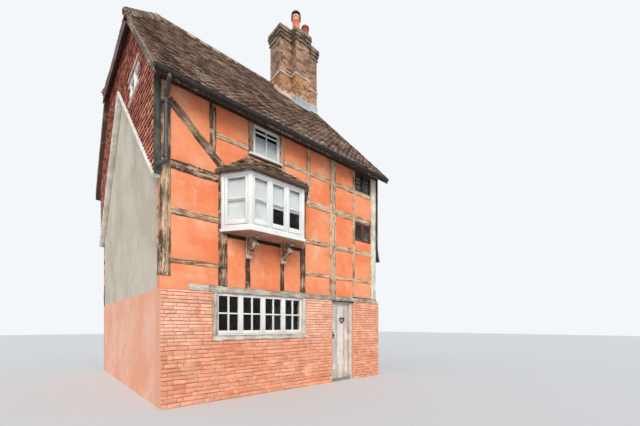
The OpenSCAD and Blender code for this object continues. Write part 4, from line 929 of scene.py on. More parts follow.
def archTiles(start, end, radius, thickness, length, seed, raised=None):
    # half round tiles laid end to end, each an arch of eleven points outside and inside, its tail
    # lapping the next one
    start, end = np.asarray(start, float), np.asarray(end, float)
    total = np.linalg.norm(end - start)
    along = (end - start) / total
    side = np.cross(along, upward)
    side /= np.linalg.norm(side)
    crown = np.cross(side, along)
    count = max(1, int(round(total / length)))
    random = np.random.default_rng(seed)
    angles = np.linspace(math.radians(-8), math.radians(188), 11)
    parts = []
    for index in range(count):
        a = start + along * (total * index / count)
        b = start + along * (total * (index + 1) / count + 0.02)
        grow = 1 + random.uniform(-0.02, 0.05)
        rings = []
        for place, share in ((a, 1.10 * grow), (b, 0.97 * grow)):
            arcs = ((radius * share, angles), (radius * share - thickness, angles[::-1]))
            rings.append(np.concatenate([place + r * (np.cos(t)[:, None] * side + np.sin(t)[:, None] * crown)
                                         for r, t in arcs]))
        rings = np.array(rings) + random.uniform(-0.004, 0.004, 3)
        if raised and index == 0:
            rings[0] += raised * upward
        around, lip = rings.shape[1], np.arange(10)
        cap = np.stack([lip, lip + 1, around - 2 - lip, around - 1 - lip], -1)
        faces = [gridQuads(2, around, wrap=True)[:, ::-1], cap, cap[:, ::-1] + around]
        parts.append(patch(rings, faces, random.uniform(0.2, 1.0)))
    return parts


def makeRidge():
    # half round tiles on both sides of the stack, and bonnet tiles down both edges of the half hip
    ridgeY, ridgeZ = roof["ridgeY"], roof["ridgeZ"]
    bed, radius, thickness = ridgeZ - 0.055, 0.115, 0.016
    parts = archTiles((roof["rightVerge"], ridgeY, bed), (stack["x1"] + 0.02, ridgeY, bed), radius, thickness,
                      0.30, 511)
    parts += archTiles((roof["ridgeStartX"] - 0.03, ridgeY, bed), (stack["x0"] - 0.02, ridgeY, bed), radius,
                       thickness, 0.38, 512)
    buildPiece("ridgeTileRow", parts, roofTile)
    parts, top = [], (roof["ridgeStartX"], ridgeY, ridgeZ - 0.02)
    for y, seed in ((roof["hipEaveY"] + 0.03, 521), (houseDepth - roof["hipEaveY"] - 0.03, 522)):
        parts += archTiles((roof["hipEaveX"] + 0.07, y, roof["hipEaveZ"] + 0.06), top, 0.105, 0.014, 0.24,
                           seed)
    buildPiece("bonnetTileRows", parts, roofTile)


makeRoof()
makeRidge()
print("roof ready")


# Gable cladding: hung tiles over a slanting mortar fillet, boards on the free gable

gable = {
    "hungFace": -0.08, "abutmentFoot": 4.25, "abutmentPitch": math.radians(44.5), "fillet": 0.07,
    "filletOut": 0.06, "window": (1.20, 2.15, 6.58, 7.10), "gauge": 0.105, "boardWidth": 0.17,
    "boardFoot": 3.50, "boardOut": 0.11, "boardThickness": 0.024, "boardStep": 0.022, "flare": 0.12,
    "flareHeight": 0.45, "roofThickness": 0.12,
    "cornerBoard": ((-0.055, -0.030, 4.25), (-0.055, -0.030, 6.0)),
}


def underRoof(y):
    # height of the slopes' underside at a distance behind the front
    return slopeHeight(y) - gable["roofThickness"] / math.cos(roof["pitch"])


def abutment(y):
    # height of the mortar fillet's line, which rises from both corners to the middle of the gable
    return gable["abutmentFoot"] + np.minimum(y, houseDepth - y) * math.tan(gable["abutmentPitch"])


def makeHungTiles():
    # U runs along -Y, so that a viewer in front of the gable has it to the right
    hipUnder = roof["hipEaveZ"] + (gable["hungFace"] - roof["hipEaveX"]) * math.tan(roof["hipPitch"])
    hipUnder -= gable["roofThickness"] / math.cos(roof["hipPitch"])
    shoulderY = (hipUnder - float(underRoof(0.0))) / math.tan(roof["pitch"])
    outline = [(-y, abutment(y)) for y in (0, houseDepth / 2, houseDepth)]
    outline += [(-houseDepth, underRoof(houseDepth)), (shoulderY - houseDepth, hipUnder),
                (-shoulderY, hipUnder), (0, underRoof(0.0))]
    left, right, foot, head = gable["window"]
    hole = [(-right, foot), (-left, foot), (-left, head), (-right, head)]
    tiles = tileField((gable["hungFace"], 0, 0), (0, -1, 0), upward, outline, 541, [hole],
                      gauge=gable["gauge"], lift=0.020, unevenness=0.003, overhang=0.0, wave=0.004)
    buildPiece("hungTiles", [tiles], hungTile)


def makeFillet():
    # a bar with a lumpy face along the line, from each corner to the middle of the gable
    out = -gable["hungFace"] + gable["filletOut"]
    parts = []
    for start, end in ((0.0, houseDepth / 2), (houseDepth, houseDepth / 2)):
        a, b = (np.array([-out, y, float(abutment(y)) - gable["fillet"] / 2]) for y in (start, end))
        parts.append(timberBar(a, b, (-1, 0, 0), gable["fillet"], out, 551 + int(start), wobble=0.008,
                               chamfer=0.012, step=0.05))
    buildPiece("mortarFillet", parts, whiteMortar, ["mortar_fillet"])


def makeCornerBoard():
    board = timberBar(*gable["cornerBoard"], frontNormal, 0.11, 0.03, 561, wobble=0.002, chamfer=0.003)
    buildPiece("cornerBoard", [board], darkBoard, ["corner_board"])


def makeGableBoards():
    # upright boards: four points round each, carried up from a ragged foot that flares outwards,
    # every other board set back
    random = np.random.default_rng(571)
    count = int(round(houseDepth / gable["boardWidth"]))
    edges = np.linspace(0, houseDepth, count + 1)
    # metres over the foot, where 1 stands for the top
    levels = np.array([0.0, 0.10, 0.22, 0.34, 0.45, 0.62, 1.0])[:, None]
    parts = []
    for index in range(count):
        low, high = edges[index] + 0.003, edges[index + 1] - 0.003
        outer = gable["boardOut"] - gable["boardStep"] * (index % 2) - random.uniform(0, 0.004)
        foot = gable["boardFoot"] + random.uniform(0.0, 0.035)
        inner = outer - gable["boardThickness"]
        x, y = np.array([outer, outer, inner, inner]), np.array([low, high, high, low])
        rise = np.where(levels < 1, foot + levels, underRoof(y) - 0.004)
        flare = gable["flare"] * np.clip(1 - (rise - gable["boardFoot"]) / gable["flareHeight"], 0, 1) ** 1.4
        flare *= random.uniform(0.85, 1.0)
        rings = np.stack([houseLength + x + flare, y + 0 * rise, rise], -1)
        rings += 0.003 * ripple(rings, 0.6, 580 + index)[..., None] * rightward
        points, faces = sweepRings(rings)
        grain = np.vstack([points[:, 2], points[:, 1] + index * 0.7, points[:, 0]]).T
        parts.append(patch(points, faces, random.uniform(0.1, 0.9), grain))
    buildPiece("gableBoards", parts, boarding, ["gable_boarding"])


makeHungTiles()
makeFillet()
makeCornerBoard()
makeGableBoards()


# Chimney: bricks on every face of the cross-shaped stack, stepped courses, mortar and a hooded cowl

crown = {
    "step": 0.022, "courses": [(11.58, 11.71), (11.71, 11.81), (11.81, 11.97)], "drip": 10.36,
    "brickFoot": 8.505,
    "creasing": [(0.020, 0.016, 0.006), (0.014, 0.010, 0.004), (0.012, 0.010, 0.004)],  # out, thickness, lift
    "course": 0.073, "length": 0.222, "potX": (5.530, 5.970), "potY": 3.25,
}
cowl = {
    "foot": 13.04, "turn": 37, "radius": 0.179, "hood": 0.140, "hoodFoot": 0.050, "cheekFoot": -0.130,
    "band": [(0.092, -0.030), (0.108, -0.030), (0.108, 0.030), (0.092, 0.030)],
}


def stackFaces(out=0.0):
    # the twelve faces of the plan as start, direction, outward direction and length
    x0, x1, y0, y1 = stack["x0"] - out, stack["x1"] + out, stack["y0"] - out, stack["y1"] + out
    a, b, reach = stack["shaftX0"] - out, stack["shaftX1"] + out, stack["shaftOut"]
    plan = np.array([(x0, y1, 0), (x0, y0, 0), (a, y0, 0), (a, y0 - reach, 0), (b, y0 - reach, 0), (b, y0, 0),
                     (x1, y0, 0), (x1, y1, 0), (b, y1, 0), (b, y1 + reach, 0), (a, y1 + reach, 0),
                     (a, y1, 0)])
    runs = np.roll(plan, -1, 0) - plan
    lengths = np.linalg.norm(runs, axis=1)
    along = runs / lengths[:, None]
    return list(zip(plan, along, np.cross(along, upward), lengths.tolist()))


def bricksRound(out, foot, head, course, seed):
    random = np.random.default_rng(seed)
    parts = []
    for index, (start, along, outward, length) in enumerate(stackFaces(out)):
        bricks = layCourses(0.0, length, foot, head, [], lambda z, random: course, crown["length"], random)
        parts.append(raiseBricks(bricks, start, along, outward, 0.006, 0.009, seed + index))
    return parts


def ledgeRound(out, thickness, z, seed):
    # a thin course that stands out all round: one worn bar along each face
    parts = []
    for index, (start, along, outward, length) in enumerate(stackFaces()):
        start = start + outward * out + upward * z
        parts.append(timberBar(start - along * out, start + along * (length + out), outward, thickness,
                               out + 0.01, seed + index, wobble=0.002, chamfer=0.003, step=0.1))
    return parts


def makeChimneyBricks():
    step, courses = crown["step"], crown["courses"]
    bricks = bricksRound(0.0, crown["brickFoot"], stack["top"], crown["course"], 600)
    buildPiece("chimneyBricks", bricks, chimneyBrick)
    bricks, ledges = [], []
    for index, (foot, head) in enumerate(courses):
        course = (head - foot - 0.018) / (2 if head - foot > 0.15 else 1)
        bricks += bricksRound(step * (index + 1), foot + 0.012, head - 0.006, course, 620 + 20 * index)
        out, thickness, lift = crown["creasing"][index]
        ledges += ledgeRound(step * (index + 1) + out, thickness, foot + lift, 700 + 20 * index)
    buildPiece("crownBricks", bricks, crownBrick)
    # the creasing courses are dark: partly the tiles' own colour, partly painted shade under each projecting
    # course
    buildPiece("creasingTiles", ledges, shadedCreasingTile)
    buildPiece("dripCourse", ledgeRound(0.034, 0.034, crown["drip"] + 0.006, 760), whiteMortar)


def makeFlaunching():
    # mortar mounded over the crown, highest round the pots
    top, out = crown["courses"][-1][1], 3 * crown["step"]
    x0, x1, y0, y1 = stack["x0"] - out, stack["x1"] + out, stack["y0"] - out, stack["y1"] + out
    shaftX0, shaftX1, reach = stack["shaftX0"] - out, stack["shaftX1"] + out, stack["shaftOut"]
    xs = np.unique(np.append(np.linspace(x0, x1, 44), [shaftX0, shaftX1]))
    ys = np.unique(np.append(np.linspace(y0 - reach, y1 + reach, 34), [y0, y1]))
    x, y = np.meshgrid(xs, ys)
    middleX, middleY = (x[:-1, :-1] + x[1:, 1:]) / 2, (y[:-1, :-1] + y[1:, 1:]) / 2
    kept = (middleY > y0) & (middleY < y1) | (middleX > shaftX0) & (middleX < shaftX1)
    edge = np.minimum(np.minimum(x - xs[0], xs[-1] - x), np.minimum(y - ys[0], ys[-1] - y))
    rise = 0.035 * np.clip(edge / 0.25, 0, 1) + 0.008 * ripple(np.stack([x, y], -1), 0.3, 77)
    for potX in crown["potX"]:
        away = np.hypot(x - potX, y - crown["potY"])
        rise = rise + 0.085 * np.exp(-(np.maximum(away - 0.13, 0) / 0.085) ** 2)
    front = np.stack([x, y, top + 0.006 + np.maximum(rise, 0)], -1)
    back = np.stack([x, y, np.full_like(x, top - 0.004)], -1)
    buildPiece("flaunching", [gridSlab(front, back, kept)], paleMortar)


flashing = {"mortarRise": 0.13, "stepRise": 0.05, "stepLength": 0.11, "leadRise": 0.25, "roll": 0.034,
            "shares": (-0.25, 0.15, 0.6, 0.92, 1.0), "mortarOut": (0.055, 0.040, 0.030, 0.024, 0.010),
            "leadOut": (0.10, 0.022, 0.018, 0.018, 0.016)}


def makeFlashings():
    # stepped mortar on the left part of the foot, lead turned up round the rest, and rolls of mortar
    # along their foot and along the lead's top
    random = np.random.default_rng(790)
    mortar, lead, beads = [], [], []
    shares = np.array(flashing["shares"])[:, None]
    for index, (start, along, outward, length) in enumerate(stackFaces()):
        travel = np.linspace(-0.02, length + 0.02, max(2, int(length / 0.05)) + 1)
        place = start + travel[:, None] * along
        isMortar = index in (0, 1, 11)
        if isMortar:
            stepped = flashing["stepRise"] * (np.floor(travel / flashing["stepLength"]) % 2)
            rise = flashing["mortarRise"] + stepped + random.uniform(-0.01, 0.01, len(travel))
            proud, lumps = np.array(flashing["mortarOut"]), 0.006
        else:
            rise = np.full(len(travel), flashing["leadRise"])
            proud, lumps = np.array(flashing["leadOut"]), 0.0024
        rise += 0.01 * ripple(travel[:, None], 0.2, 791 + index)
        z = slopeHeight(place[:, 1]) + shares * rise
        bump = lumps * ripple(np.stack([travel + 0 * z, z], -1), 0.12, 792 + index)
        front = place + outward * (proud[:, None] + bump)[..., None]
        back = np.repeat((place - outward * 0.005)[None], 5, 0)
        front[..., 2] = back[..., 2] = z
        (mortar if isMortar else lead).append(gridSlab(front, back))
        rolls = [(-0.02, 0.075)] if isMortar else [(-0.02, 0.075), (float(rise.mean()) + 0.012, 0.03)]
        for lift, out in rolls:
            ends = [spot + upward * (slopeHeight(spot[1]) + lift) + outward * out
                    for spot in (start, start + along * length)]
            beads.append(timberBar(*ends, outward, flashing["roll"], out + 0.004, 796 + index, wobble=0.008,
                                   chamfer=0.008, step=0.06))
    buildPiece("mortarFlashing", mortar, pinkMortar)
    buildPiece("flashingBeads", beads, whiteMortar)
    buildPiece("leadFlashing", lead, leadSheet, ["chimney_lead"])


def makeCowl():
    # a sheet hood on the taller pot: a dome, two cheeks that hang past the pot's top, and a band in its
    # mouth on four straps
    centre = np.array([crown["potX"][0], crown["potY"], cowl["foot"]])
    radius, foot = cowl["radius"], cowl["hoodFoot"]
    outer = [(radius * math.cos(t), foot + cowl["hood"] * math.sin(t))
             for t in np.radians(np.arange(0, 90, 9))]
    inner = [(0.95 * r, z - 0.012) for r, z in outer]
    rim = [(radius, foot - 0.006), (radius - 0.004, foot - 0.006)]
    dome = ringOfRevolution(outer[::-1] + rim + inner, centre, 40)
    parts = [{**dome, "faces": [face[:, ::-1] for face in dome["faces"]]}]
    sag = 1 - 0.12 * np.abs(np.linspace(-1, 1, 15)) ** 3
    z = foot - (foot - np.linspace(cowl["cheekFoot"], foot, 6)[:, None]) * sag
    for side in (0, math.pi):
        angles = side - math.radians(cowl["turn"]) + np.linspace(-0.58, 0.58, 15) + 0 * z
        parts.append(gridSlab(*(centre + np.stack([r * np.cos(angles), r * np.sin(angles), z], -1)
                                for r in (radius - 0.001, radius - 0.013))))
    parts.append(ringOfRevolution(cowl["band"], centre, 32))
    for angle in np.arange(4) * math.pi / 2 + 0.7:
        outward = np.array([math.cos(angle), math.sin(angle), 0])
        foothold = centre + 0.100 * outward
        parts.append(timberBar(foothold, foothold + upward * 0.16, outward, 0.03, 0.008, 661, wobble=0,
                               chamfer=0.001))
    buildPiece("hoodedCowl", parts, blackIron, ["chimney_cowl"])


makeChimneyBricks()
makeFlaunching()
makeFlashings()
makeCowl()
print("chimney ready")


# Windows: frames, casements and glazing bars, each box laid out left, right, face, back, foot, head

def ringBoxes(outer, inner, face, back):
    # left and right uprights over the full height, foot and head rails between them
    left, right, foot, head = outer
    a, b, c, d = inner
    return [(left, a, face, back, foot, head), (b, right, face, back, foot, head),
            (a, b, face, back, foot, c), (a, b, face, back, d, head)]


def casement(outer, glass, face, thick, panes=(1, 1), bar=0.022):
    # stiles and rails between the outer edge and the glass, bars between the panes
    a, b, c, d = glass
    back, inset = face + thick, 0.006
    boxes = ringBoxes(outer, glass, face, back)
    for index in range(1, panes[0]):
        middle = a + (b - a) * index / panes[0]
        boxes.append((middle - bar / 2, middle + bar / 2, face + inset, back - inset, c, d))
    for index in range(1, panes[1]):
        middle = c + (d - c) * index / panes[1]
        boxes.append((a, b, face + inset + 0.002, back - inset - 0.002, middle - bar / 2, middle + bar / 2))
    return boxes


groundWindow = {
    "left": 1.068, "right": 3.265, "foot": 1.32, "head": 2.20, "face": 0.020, "depth": 0.060, "member": 0.045,
    "mullion": 0.110, "lights": 4, "lap": 0.001, "gap": 0.006, "edge": 0.020, "rail": 0.022,
    "postHalf": 0.018, "jamb": 0.105, "sill": 0.110, "sillOut": 0.055, "jambOut": 0.027,
}
upperWindow = {"face": 0.020, "depth": 0.060, "eaves": (1.90, 2.61, 5.31, 6.00), "sillFoot": 5.27,
               "leaded": (5.21, 5.93, 5.46, 6.00), "plain": (5.21, 5.93, 4.00, 4.54),
               "cameLights": ((5.262, 5.543), (5.597, 5.878)), "cameHeights": (5.515, 5.945),
               "gableFace": -0.086, "gableDepth": 0.066}


def groundWindowBoxes():
    w = groundWindow
    light = (w["right"] - w["left"] - 2 * w["member"] - (w["lights"] - 1) * w["mullion"]) / w["lights"]
    face, back, half = w["face"], w["face"] + w["depth"], w["postHalf"]
    innerLeft, innerRight = w["left"] + w["edge"], w["right"] - w["edge"]
    innerFoot, innerHead = w["foot"] + w["rail"], w["head"] - w["rail"]
    boxes = ringBoxes((w["left"], w["right"], w["foot"], w["head"]),
                      (innerLeft, innerRight, innerFoot, innerHead), face, back)
    for index in range(w["lights"]):
        a = w["left"] + w["member"] + index * (light + w["mullion"])
        b = a + light
        outerLeft = (a - w["mullion"] / 2 + half if index else innerLeft) + w["gap"]
        outerRight = (b + w["mullion"] / 2 - half if index < w["lights"] - 1 else innerRight) - w["gap"]
        boxes += casement((outerLeft, outerRight, w["foot"] + 0.025, w["head"] - 0.025),
                          (a + w["lap"], b - w["lap"], w["foot"] + 0.100, w["head"] - 0.060), face + 0.004,
                          0.050, (2, 2), 0.030)
        if index:
            post = a - w["mullion"] / 2
            boxes.append((post - half, post + half, face, back, innerFoot, innerHead))
    return boxes


def makeGroundWindows():
    frames = [planedBars(groundWindowBoxes(), 0.003, 801)]
    buildPiece("groundWindowJoinery", frames + toRear(frames), whitePaint,
               ["ground_window_frames"])
    left, right, foot, head = groundBrick["window"]
    jamb, sill, sillOut, jambOut = (groundWindow[key] for key in ("jamb", "sill", "sillOut", "jambOut"))
    bars = [timberBar((left, -sillOut, foot + sill / 2), (right, -sillOut, foot + sill / 2), frontNormal,
                      sill, wallThickness + sillOut, 811, wobble=0.006, chamfer=0.012)]
    for x, seed, tone in ((left + jamb / 2, 812, 0.4), (right - jamb / 2, 813, 0.9)):
        bars.append(timberBar((x, -jambOut, foot + sill), (x, -jambOut, head), frontNormal, jamb,
                              wallThickness + jambOut, seed, wobble=0.004, tone=tone))
    buildPiece("groundWindowSurround", bars + toRear(bars), paleOak,
               ["ground_window_surround"])


def frameBoxes(outer, face, depth, member):
    left, right, foot, head = outer
    return ringBoxes(outer, (left + member, right - member, foot + member, head - member), face, face + depth)


def twoLights(outer, face, depth, member, mullion, stile, seed, footRail=None):
    # a frame with a mullion, and a casement in each light
    left, right, foot, head = outer
    middle, half = (left + right) / 2, mullion / 2
    boxes = frameBoxes(outer, face, depth, member)
    boxes.append((middle - half, middle + half, face, face + depth, foot + member, head - member))
    for a, b in ((left + member, middle - half), (middle + half, right - member)):
        edge = (a + 0.003, b - 0.003, foot + member + 0.003, head - member - 0.003)
        glass = (edge[0] + stile, edge[1] - stile, edge[2] + (footRail or stile), edge[3] - stile)
        boxes += casement(edge, glass, face + 0.006, 0.042)
    return planedBars(boxes, 0.003, seed)


def makeEavesWindow():
    # a white sash with one low and one high pane a side, and a horned sill board over a dark strip of painted
    # shade
    left, right, foot, head = upperWindow["eaves"]
    under = upperWindow["sillFoot"]
    boxes = frameBoxes((left, right, foot, head), upperWindow["face"], upperWindow["depth"], 0.042)
    boxes += casement((left + 0.045, right - 0.045, foot + 0.045, head - 0.045),
                      (left + 0.066, right - 0.066, foot + 0.070, head - 0.062), 0.026, 0.044, (2, 1))
    boxes.append((left + 0.066, right - 0.066, 0.034, 0.064, head - 0.162, head - 0.134))
    sill = [(left - 0.115, right + 0.040, -0.059, -0.002, under, foot),
            (left, right, -0.002, 0.080, under, foot)]
    buildPiece("eavesWindowJoinery", [planedBars(boxes, 0.003, 821), planedBars(sill, 0.006, 822)],
               whitePaint, ["eaves_window_frame"])
    # a dark oak bar under the sill: painted shade
    sillShadow = [(left - 0.105, right + 0.030, -0.030, -0.002, under - 0.032, under - 0.002)]
    buildPiece("eavesSillShadow", [planedBars(sillShadow, 0.004, 823)], shadedOak)


def makeSmallWindows():
    # the two at the right: dark leaded lights above, brown casements below
    face, depth = upperWindow["face"], upperWindow["depth"]
    upper = [twoLights(upperWindow["leaded"], face, depth, 0.036, 0.030, 0.020, 831)]
    buildPiece("upperSmallWindows", upper + toRear(upper), slatePaint, ["small_window_frames"])
    lower = [twoLights(upperWindow["plain"], face, depth, 0.030, 0.026, 0.032, 832, footRail=0.040)]
    buildPiece("lowerSmallWindows", lower + toRear(lower), brownPaint, ["small_window_frames"])
    foot, head = upperWindow["cameHeights"]
    cames = []
    for a, b in upperWindow["cameLights"]:
        cames += [(x - 0.004, x + 0.004, 0.044, 0.056, foot, head) for x in np.linspace(a, b, 4)[1:-1]]
        cames += [(a, b, 0.045, 0.055, z - 0.004, z + 0.004) for z in np.linspace(foot, head, 5)[1:-1]]
    cames = [planedBars(cames, 0.002, 833)]
    buildPiece("leadCames", cames + toRear(cames), leadSheet)


def makeGableWindow():
    # in the hung tiles: a white frame with two casements, a head board over it and an apron board under it
    left, right, foot, head = gable["window"]
    frames = twoLights((-right, -left, foot, head), upperWindow["gableFace"], upperWindow["gableDepth"],
                       0.042, 0.036, 0.026, 841)
    buildPiece("gableWindowJoinery", onWall([frames], (0, 0, 0), (0, -1, 0)), whitePaint,
               ["gable_window_frame"])
    boards = [(-right - 0.03, -left + 0.03, -0.118, -0.070, head, head + 0.05),
              (-right - 0.03, -left + 0.03, -0.125, -0.070, foot - 0.045, foot)]
    buildPiece("gableWindowBoards", onWall([planedBars(boards, 0.004, 842)], (0, 0, 0), (0, -1, 0)), paleOak)


makeGroundWindows()
makeEavesWindow()
makeSmallWindows()
makeGableWindow()


# Oriel: white joinery on a canted plan, blinds, tiled hipped roof, boarded underside, carved brackets

oriel = {
    "x0": 1.1475, "x1": 3.290, "out": 0.543, "cant": 0.385, "foot": 3.50, "head": 4.64, "frame": 0.070,
    "mullion": 0.055, "eaveOut": 0.100, "eaveHead": 4.69, "fasciaFoot": 4.652, "roofTop": 5.175,
    "roofIn": 0.62, "glass": (3.689, 4.538), "boardsFoot": 3.430, "bracketOut": 0.430, "bracketTop": 3.445,
    "bearer": ((1.295, -0.014, 3.400), (3.205, -0.014, 3.400)),
}
oriel["side"] = math.hypot(oriel["cant"], oriel["out"])


def orielFaces(out=0.0):
    # left side, front and right side of the plan, set out by a distance, as start, run and length
    angle = math.atan2(oriel["out"], oriel["cant"])
    reach = oriel["out"] + out
    a, b = oriel["x0"] - out / math.sin(angle), oriel["x1"] + out / math.sin(angle)
    cant = reach / math.tan(angle)
    plan = np.array([(a, 0, 0), (a + cant, -reach, 0), (b - cant, -reach, 0), (b, 0, 0)])
    runs = plan[1:] - plan[:-1]
    return list(zip(plan, runs, np.linalg.norm(runs, axis=1).tolist()))


def orielWall(length, lights, stiles, seed):
    # one wall of joinery: sill rail, head rail, posts and mullions, and a casement with one bar in each light
    post, mullion = oriel["frame"], oriel["mullion"]
    foot, head = oriel["foot"] + post, oriel["head"] - post
    boxes = [(0, length, 0.0, post, oriel["foot"], foot), (0, length, 0.0, post, head, oriel["head"]),
             (0, post, 0.0, post, foot, head), (length - post, length, 0.0, post, foot, head)]
    light = (length - 2 * post - (lights - 1) * mullion) / lights
    for index in range(lights):
        a = post + index * (light + mullion)
        b = a + light
        if index:
            boxes.append((a - mullion, a, 0.0, post, foot, head))
        boxes += casement((a + 0.008, b - 0.008, foot + 0.018, head - 0.007),
                          (a + stiles, b - stiles, *oriel["glass"]), 0.014, 0.050, (1, 2))
    return planedBars(boxes, 0.004, seed)


def makeOrielJoinery():
    # the three walls of the plan, and a fascia board under each eave
    walls, fascia = [], []
    for index, (start, run, length) in enumerate(orielFaces()):
        wall = orielWall(length, 3, 0.038, 851) if index == 1 else orielWall(length, 1, 0.065, 852 + index)
        walls += onWall([wall], start, run)
    buildPiece("orielJoinery", walls, whitePaint, ["oriel_frame"])
    foot = oriel["fasciaFoot"]
    for index, (start, run, length) in enumerate(orielFaces(oriel["eaveOut"] - 0.012)):
        fascia += onWall([planedBars([(0, length, 0.0, 0.02, foot, foot + 0.04)], 0.003, 860 + index)], start,
                         run)
    buildPiece("orielFascia", fascia, tanBoard)


def makeOrielTiles():
    # a field of tiles on each of the three slopes, half round tiles down the two hips, mortar at their feet
    # and along the wall
    eave = [(start + upward * (oriel["eaveHead"] + 0.012), run, length)
            for start, run, length in orielFaces(oriel["eaveOut"] - 0.030)]
    left = np.array([oriel["x0"] + oriel["roofIn"], -0.010, oriel["roofTop"]])
    right = np.array([oriel["x1"] - oriel["roofIn"], -0.010, oriel["roofTop"]])
    parts = []
    for index, ((start, run, length), tops) in enumerate(zip(eave, ([left], [right, left], [right]))):
        along = run / length
        normal = np.cross(along, tops[0] - start)
        up = np.cross(normal / np.linalg.norm(normal), along)
        outline = [(0, 0), (length, 0)] + [((top - start) @ along, (top - start) @ up) for top in tops]
        parts.append(tileField(start, along, up, outline, 870 + index, width=0.15, gauge=0.095, lift=0.020,
                               unevenness=0.013, overhang=0.0))
    buildPiece("orielTiles", parts, orielTile)
    hips, mortar = [], []
    for index, (foot, top) in enumerate(((eave[1][0], left), (eave[2][0], right))):
        line = (top - foot) / np.linalg.norm(top - foot)
        foot = foot + line * 0.04
        hips += archTiles(foot + upward * 0.004, top, 0.044, 0.012, 0.17, 875 + index)
        outward = np.cross(np.cross(line, upward), line)
        start = foot + outward * 0.030
        mortar.append(timberBar(start, start + line * 0.2, outward, 0.07, 0.05, 878 + index, wobble=0.003,
                                chamfer=0.022, step=0.04))
    mortar.append(timberBar(left + (-0.05, 0, 0.01), right + (0.05, 0, 0.01), frontNormal, 0.07, 0.012, 877,
                            wobble=0.008, chamfer=0.01))
    buildPiece("orielHipTiles", hips, orielTile)
    buildPiece("orielTopMortar", mortar, pinkMortar)


blinds = {"head": 4.60, "depth": 0.088, "cover": 0.015, "leftFoot": 3.60, "frontFeet": (3.60, 4.03, 4.05),
          "rightFoot": 4.02, "eaves": (1.93, 2.58, 5.34, 5.79), "eavesDepth": 0.092}


def makeBlinds():
    # roller blinds close behind the glass: full in the left side and the first front light, shorter beyond
    faces, post, mullion = orielFaces(), oriel["frame"], oriel["mullion"]
    light = (faces[1][2] - 2 * post - 2 * mullion) / 3
    side = oriel["side"] - 2 * post
    hung = [("blindLeftSide", 0, post, side, blinds["leftFoot"])]
    for index, foot in enumerate(blinds["frontFeet"]):
        hung.append((f"blindFront{index + 1}", 1, post + index * (light + mullion), light, foot))
    hung.append(("blindRightSide", 2, post, side, blinds["rightFoot"]))
    for name, face, left, width, foot in hung:
        start, run = faces[face][:2]
        addBlind(name, left - blinds["cover"], left + width + blinds["cover"], foot, blinds["head"],
                 blinds["depth"], start, run, "oriel_frame")
    addBlind("blindEavesWindow", *blinds["eaves"], blinds["eavesDepth"], (0, 0, 0), (1, 0, 0),
             "eaves_window_frame")


def addBlind(name, left, right, foot, head, depth, origin, along, holder):
    # a thin sheet that hangs flat, with a slight bow across it and a slight wave down it
    across, up = np.meshgrid(np.linspace(left, right, 9), np.linspace(foot, head, 13))
    share = (across - left) / (right - left)
    bow = 0.004 * np.sin(np.pi * share) + 0.0015 * np.sin((up - foot) * 9)
    front = np.stack([across, depth - bow, up], -1)
    parts = onWall([gridSlab(front, front + (0, 0.0008, 0))], origin, along)
    piece = buildPiece(name, parts, blindCloth)


def makeOrielUnderside():
    # boards under the base, with a dark gap at the wall, narrowing to the canted sides
    parts, count = [], 4
    edges = np.linspace(0.035, oriel["out"] - 0.01, count + 1)
    for index in range(count):
        reach = np.array([edges[index] + 0.003, edges[index + 1]])
        inset = oriel["cant"] * reach / oriel["out"]
        x = np.stack([oriel["x0"] + inset, oriel["x1"] - inset], -1)
        under = np.stack([x, -reach[:, None] + 0 * x, oriel["boardsFoot"] + 0.002 * (index % 2) + 0 * x], -1)
        parts.append(gridSlab(under, under + (0, 0, 0.014)))
    buildPiece("orielUnderside", parts, soffitBoard)
    # a bearer timber under the boards, its dark colour painted shade under the oriel's base
    bearer = timberBar(*oriel["bearer"], frontNormal, 0.084, 0.026, 889, wobble=0.004)
    buildPiece("orielShadedBearer", [bearer], shadedOak)


def scrollPath():
    # distance from the wall and height below the top: a curl at the outer end, a notch, a round knee and
    # a slanting run down to the foot, smoothed between the knots
    knots = np.array([(0.404, 0.022), (0.424, 0.040), (0.427, 0.066), (0.410, 0.092), (0.366, 0.106),
                      (0.316, 0.112), (0.288, 0.128), (0.330, 0.152), (0.368, 0.178), (0.380, 0.212),
                      (0.364, 0.248), (0.322, 0.274), (0.268, 0.288), (0.210, 0.300), (0.156, 0.328),
                      (0.112, 0.362), (0.088, 0.398), (0.080, 0.432)])
    before, after = np.vstack([knots[:1], knots[:-1]]), np.vstack([knots[1:], knots[-1:]])
    beyond = np.vstack([after[1:], knots[-1:]])
    t = np.arange(4)[:, None, None] / 4
    bend = knots + t * (beyond - before) / 2 * (1 - t) ** 2
    ease = 3 * t ** 2 - 2 * t ** 3
    smooth = (1 - ease) * bend + ease * after
    return smooth.transpose(1, 0, 2).reshape(-1, 2)[:-3] * (1, -1)


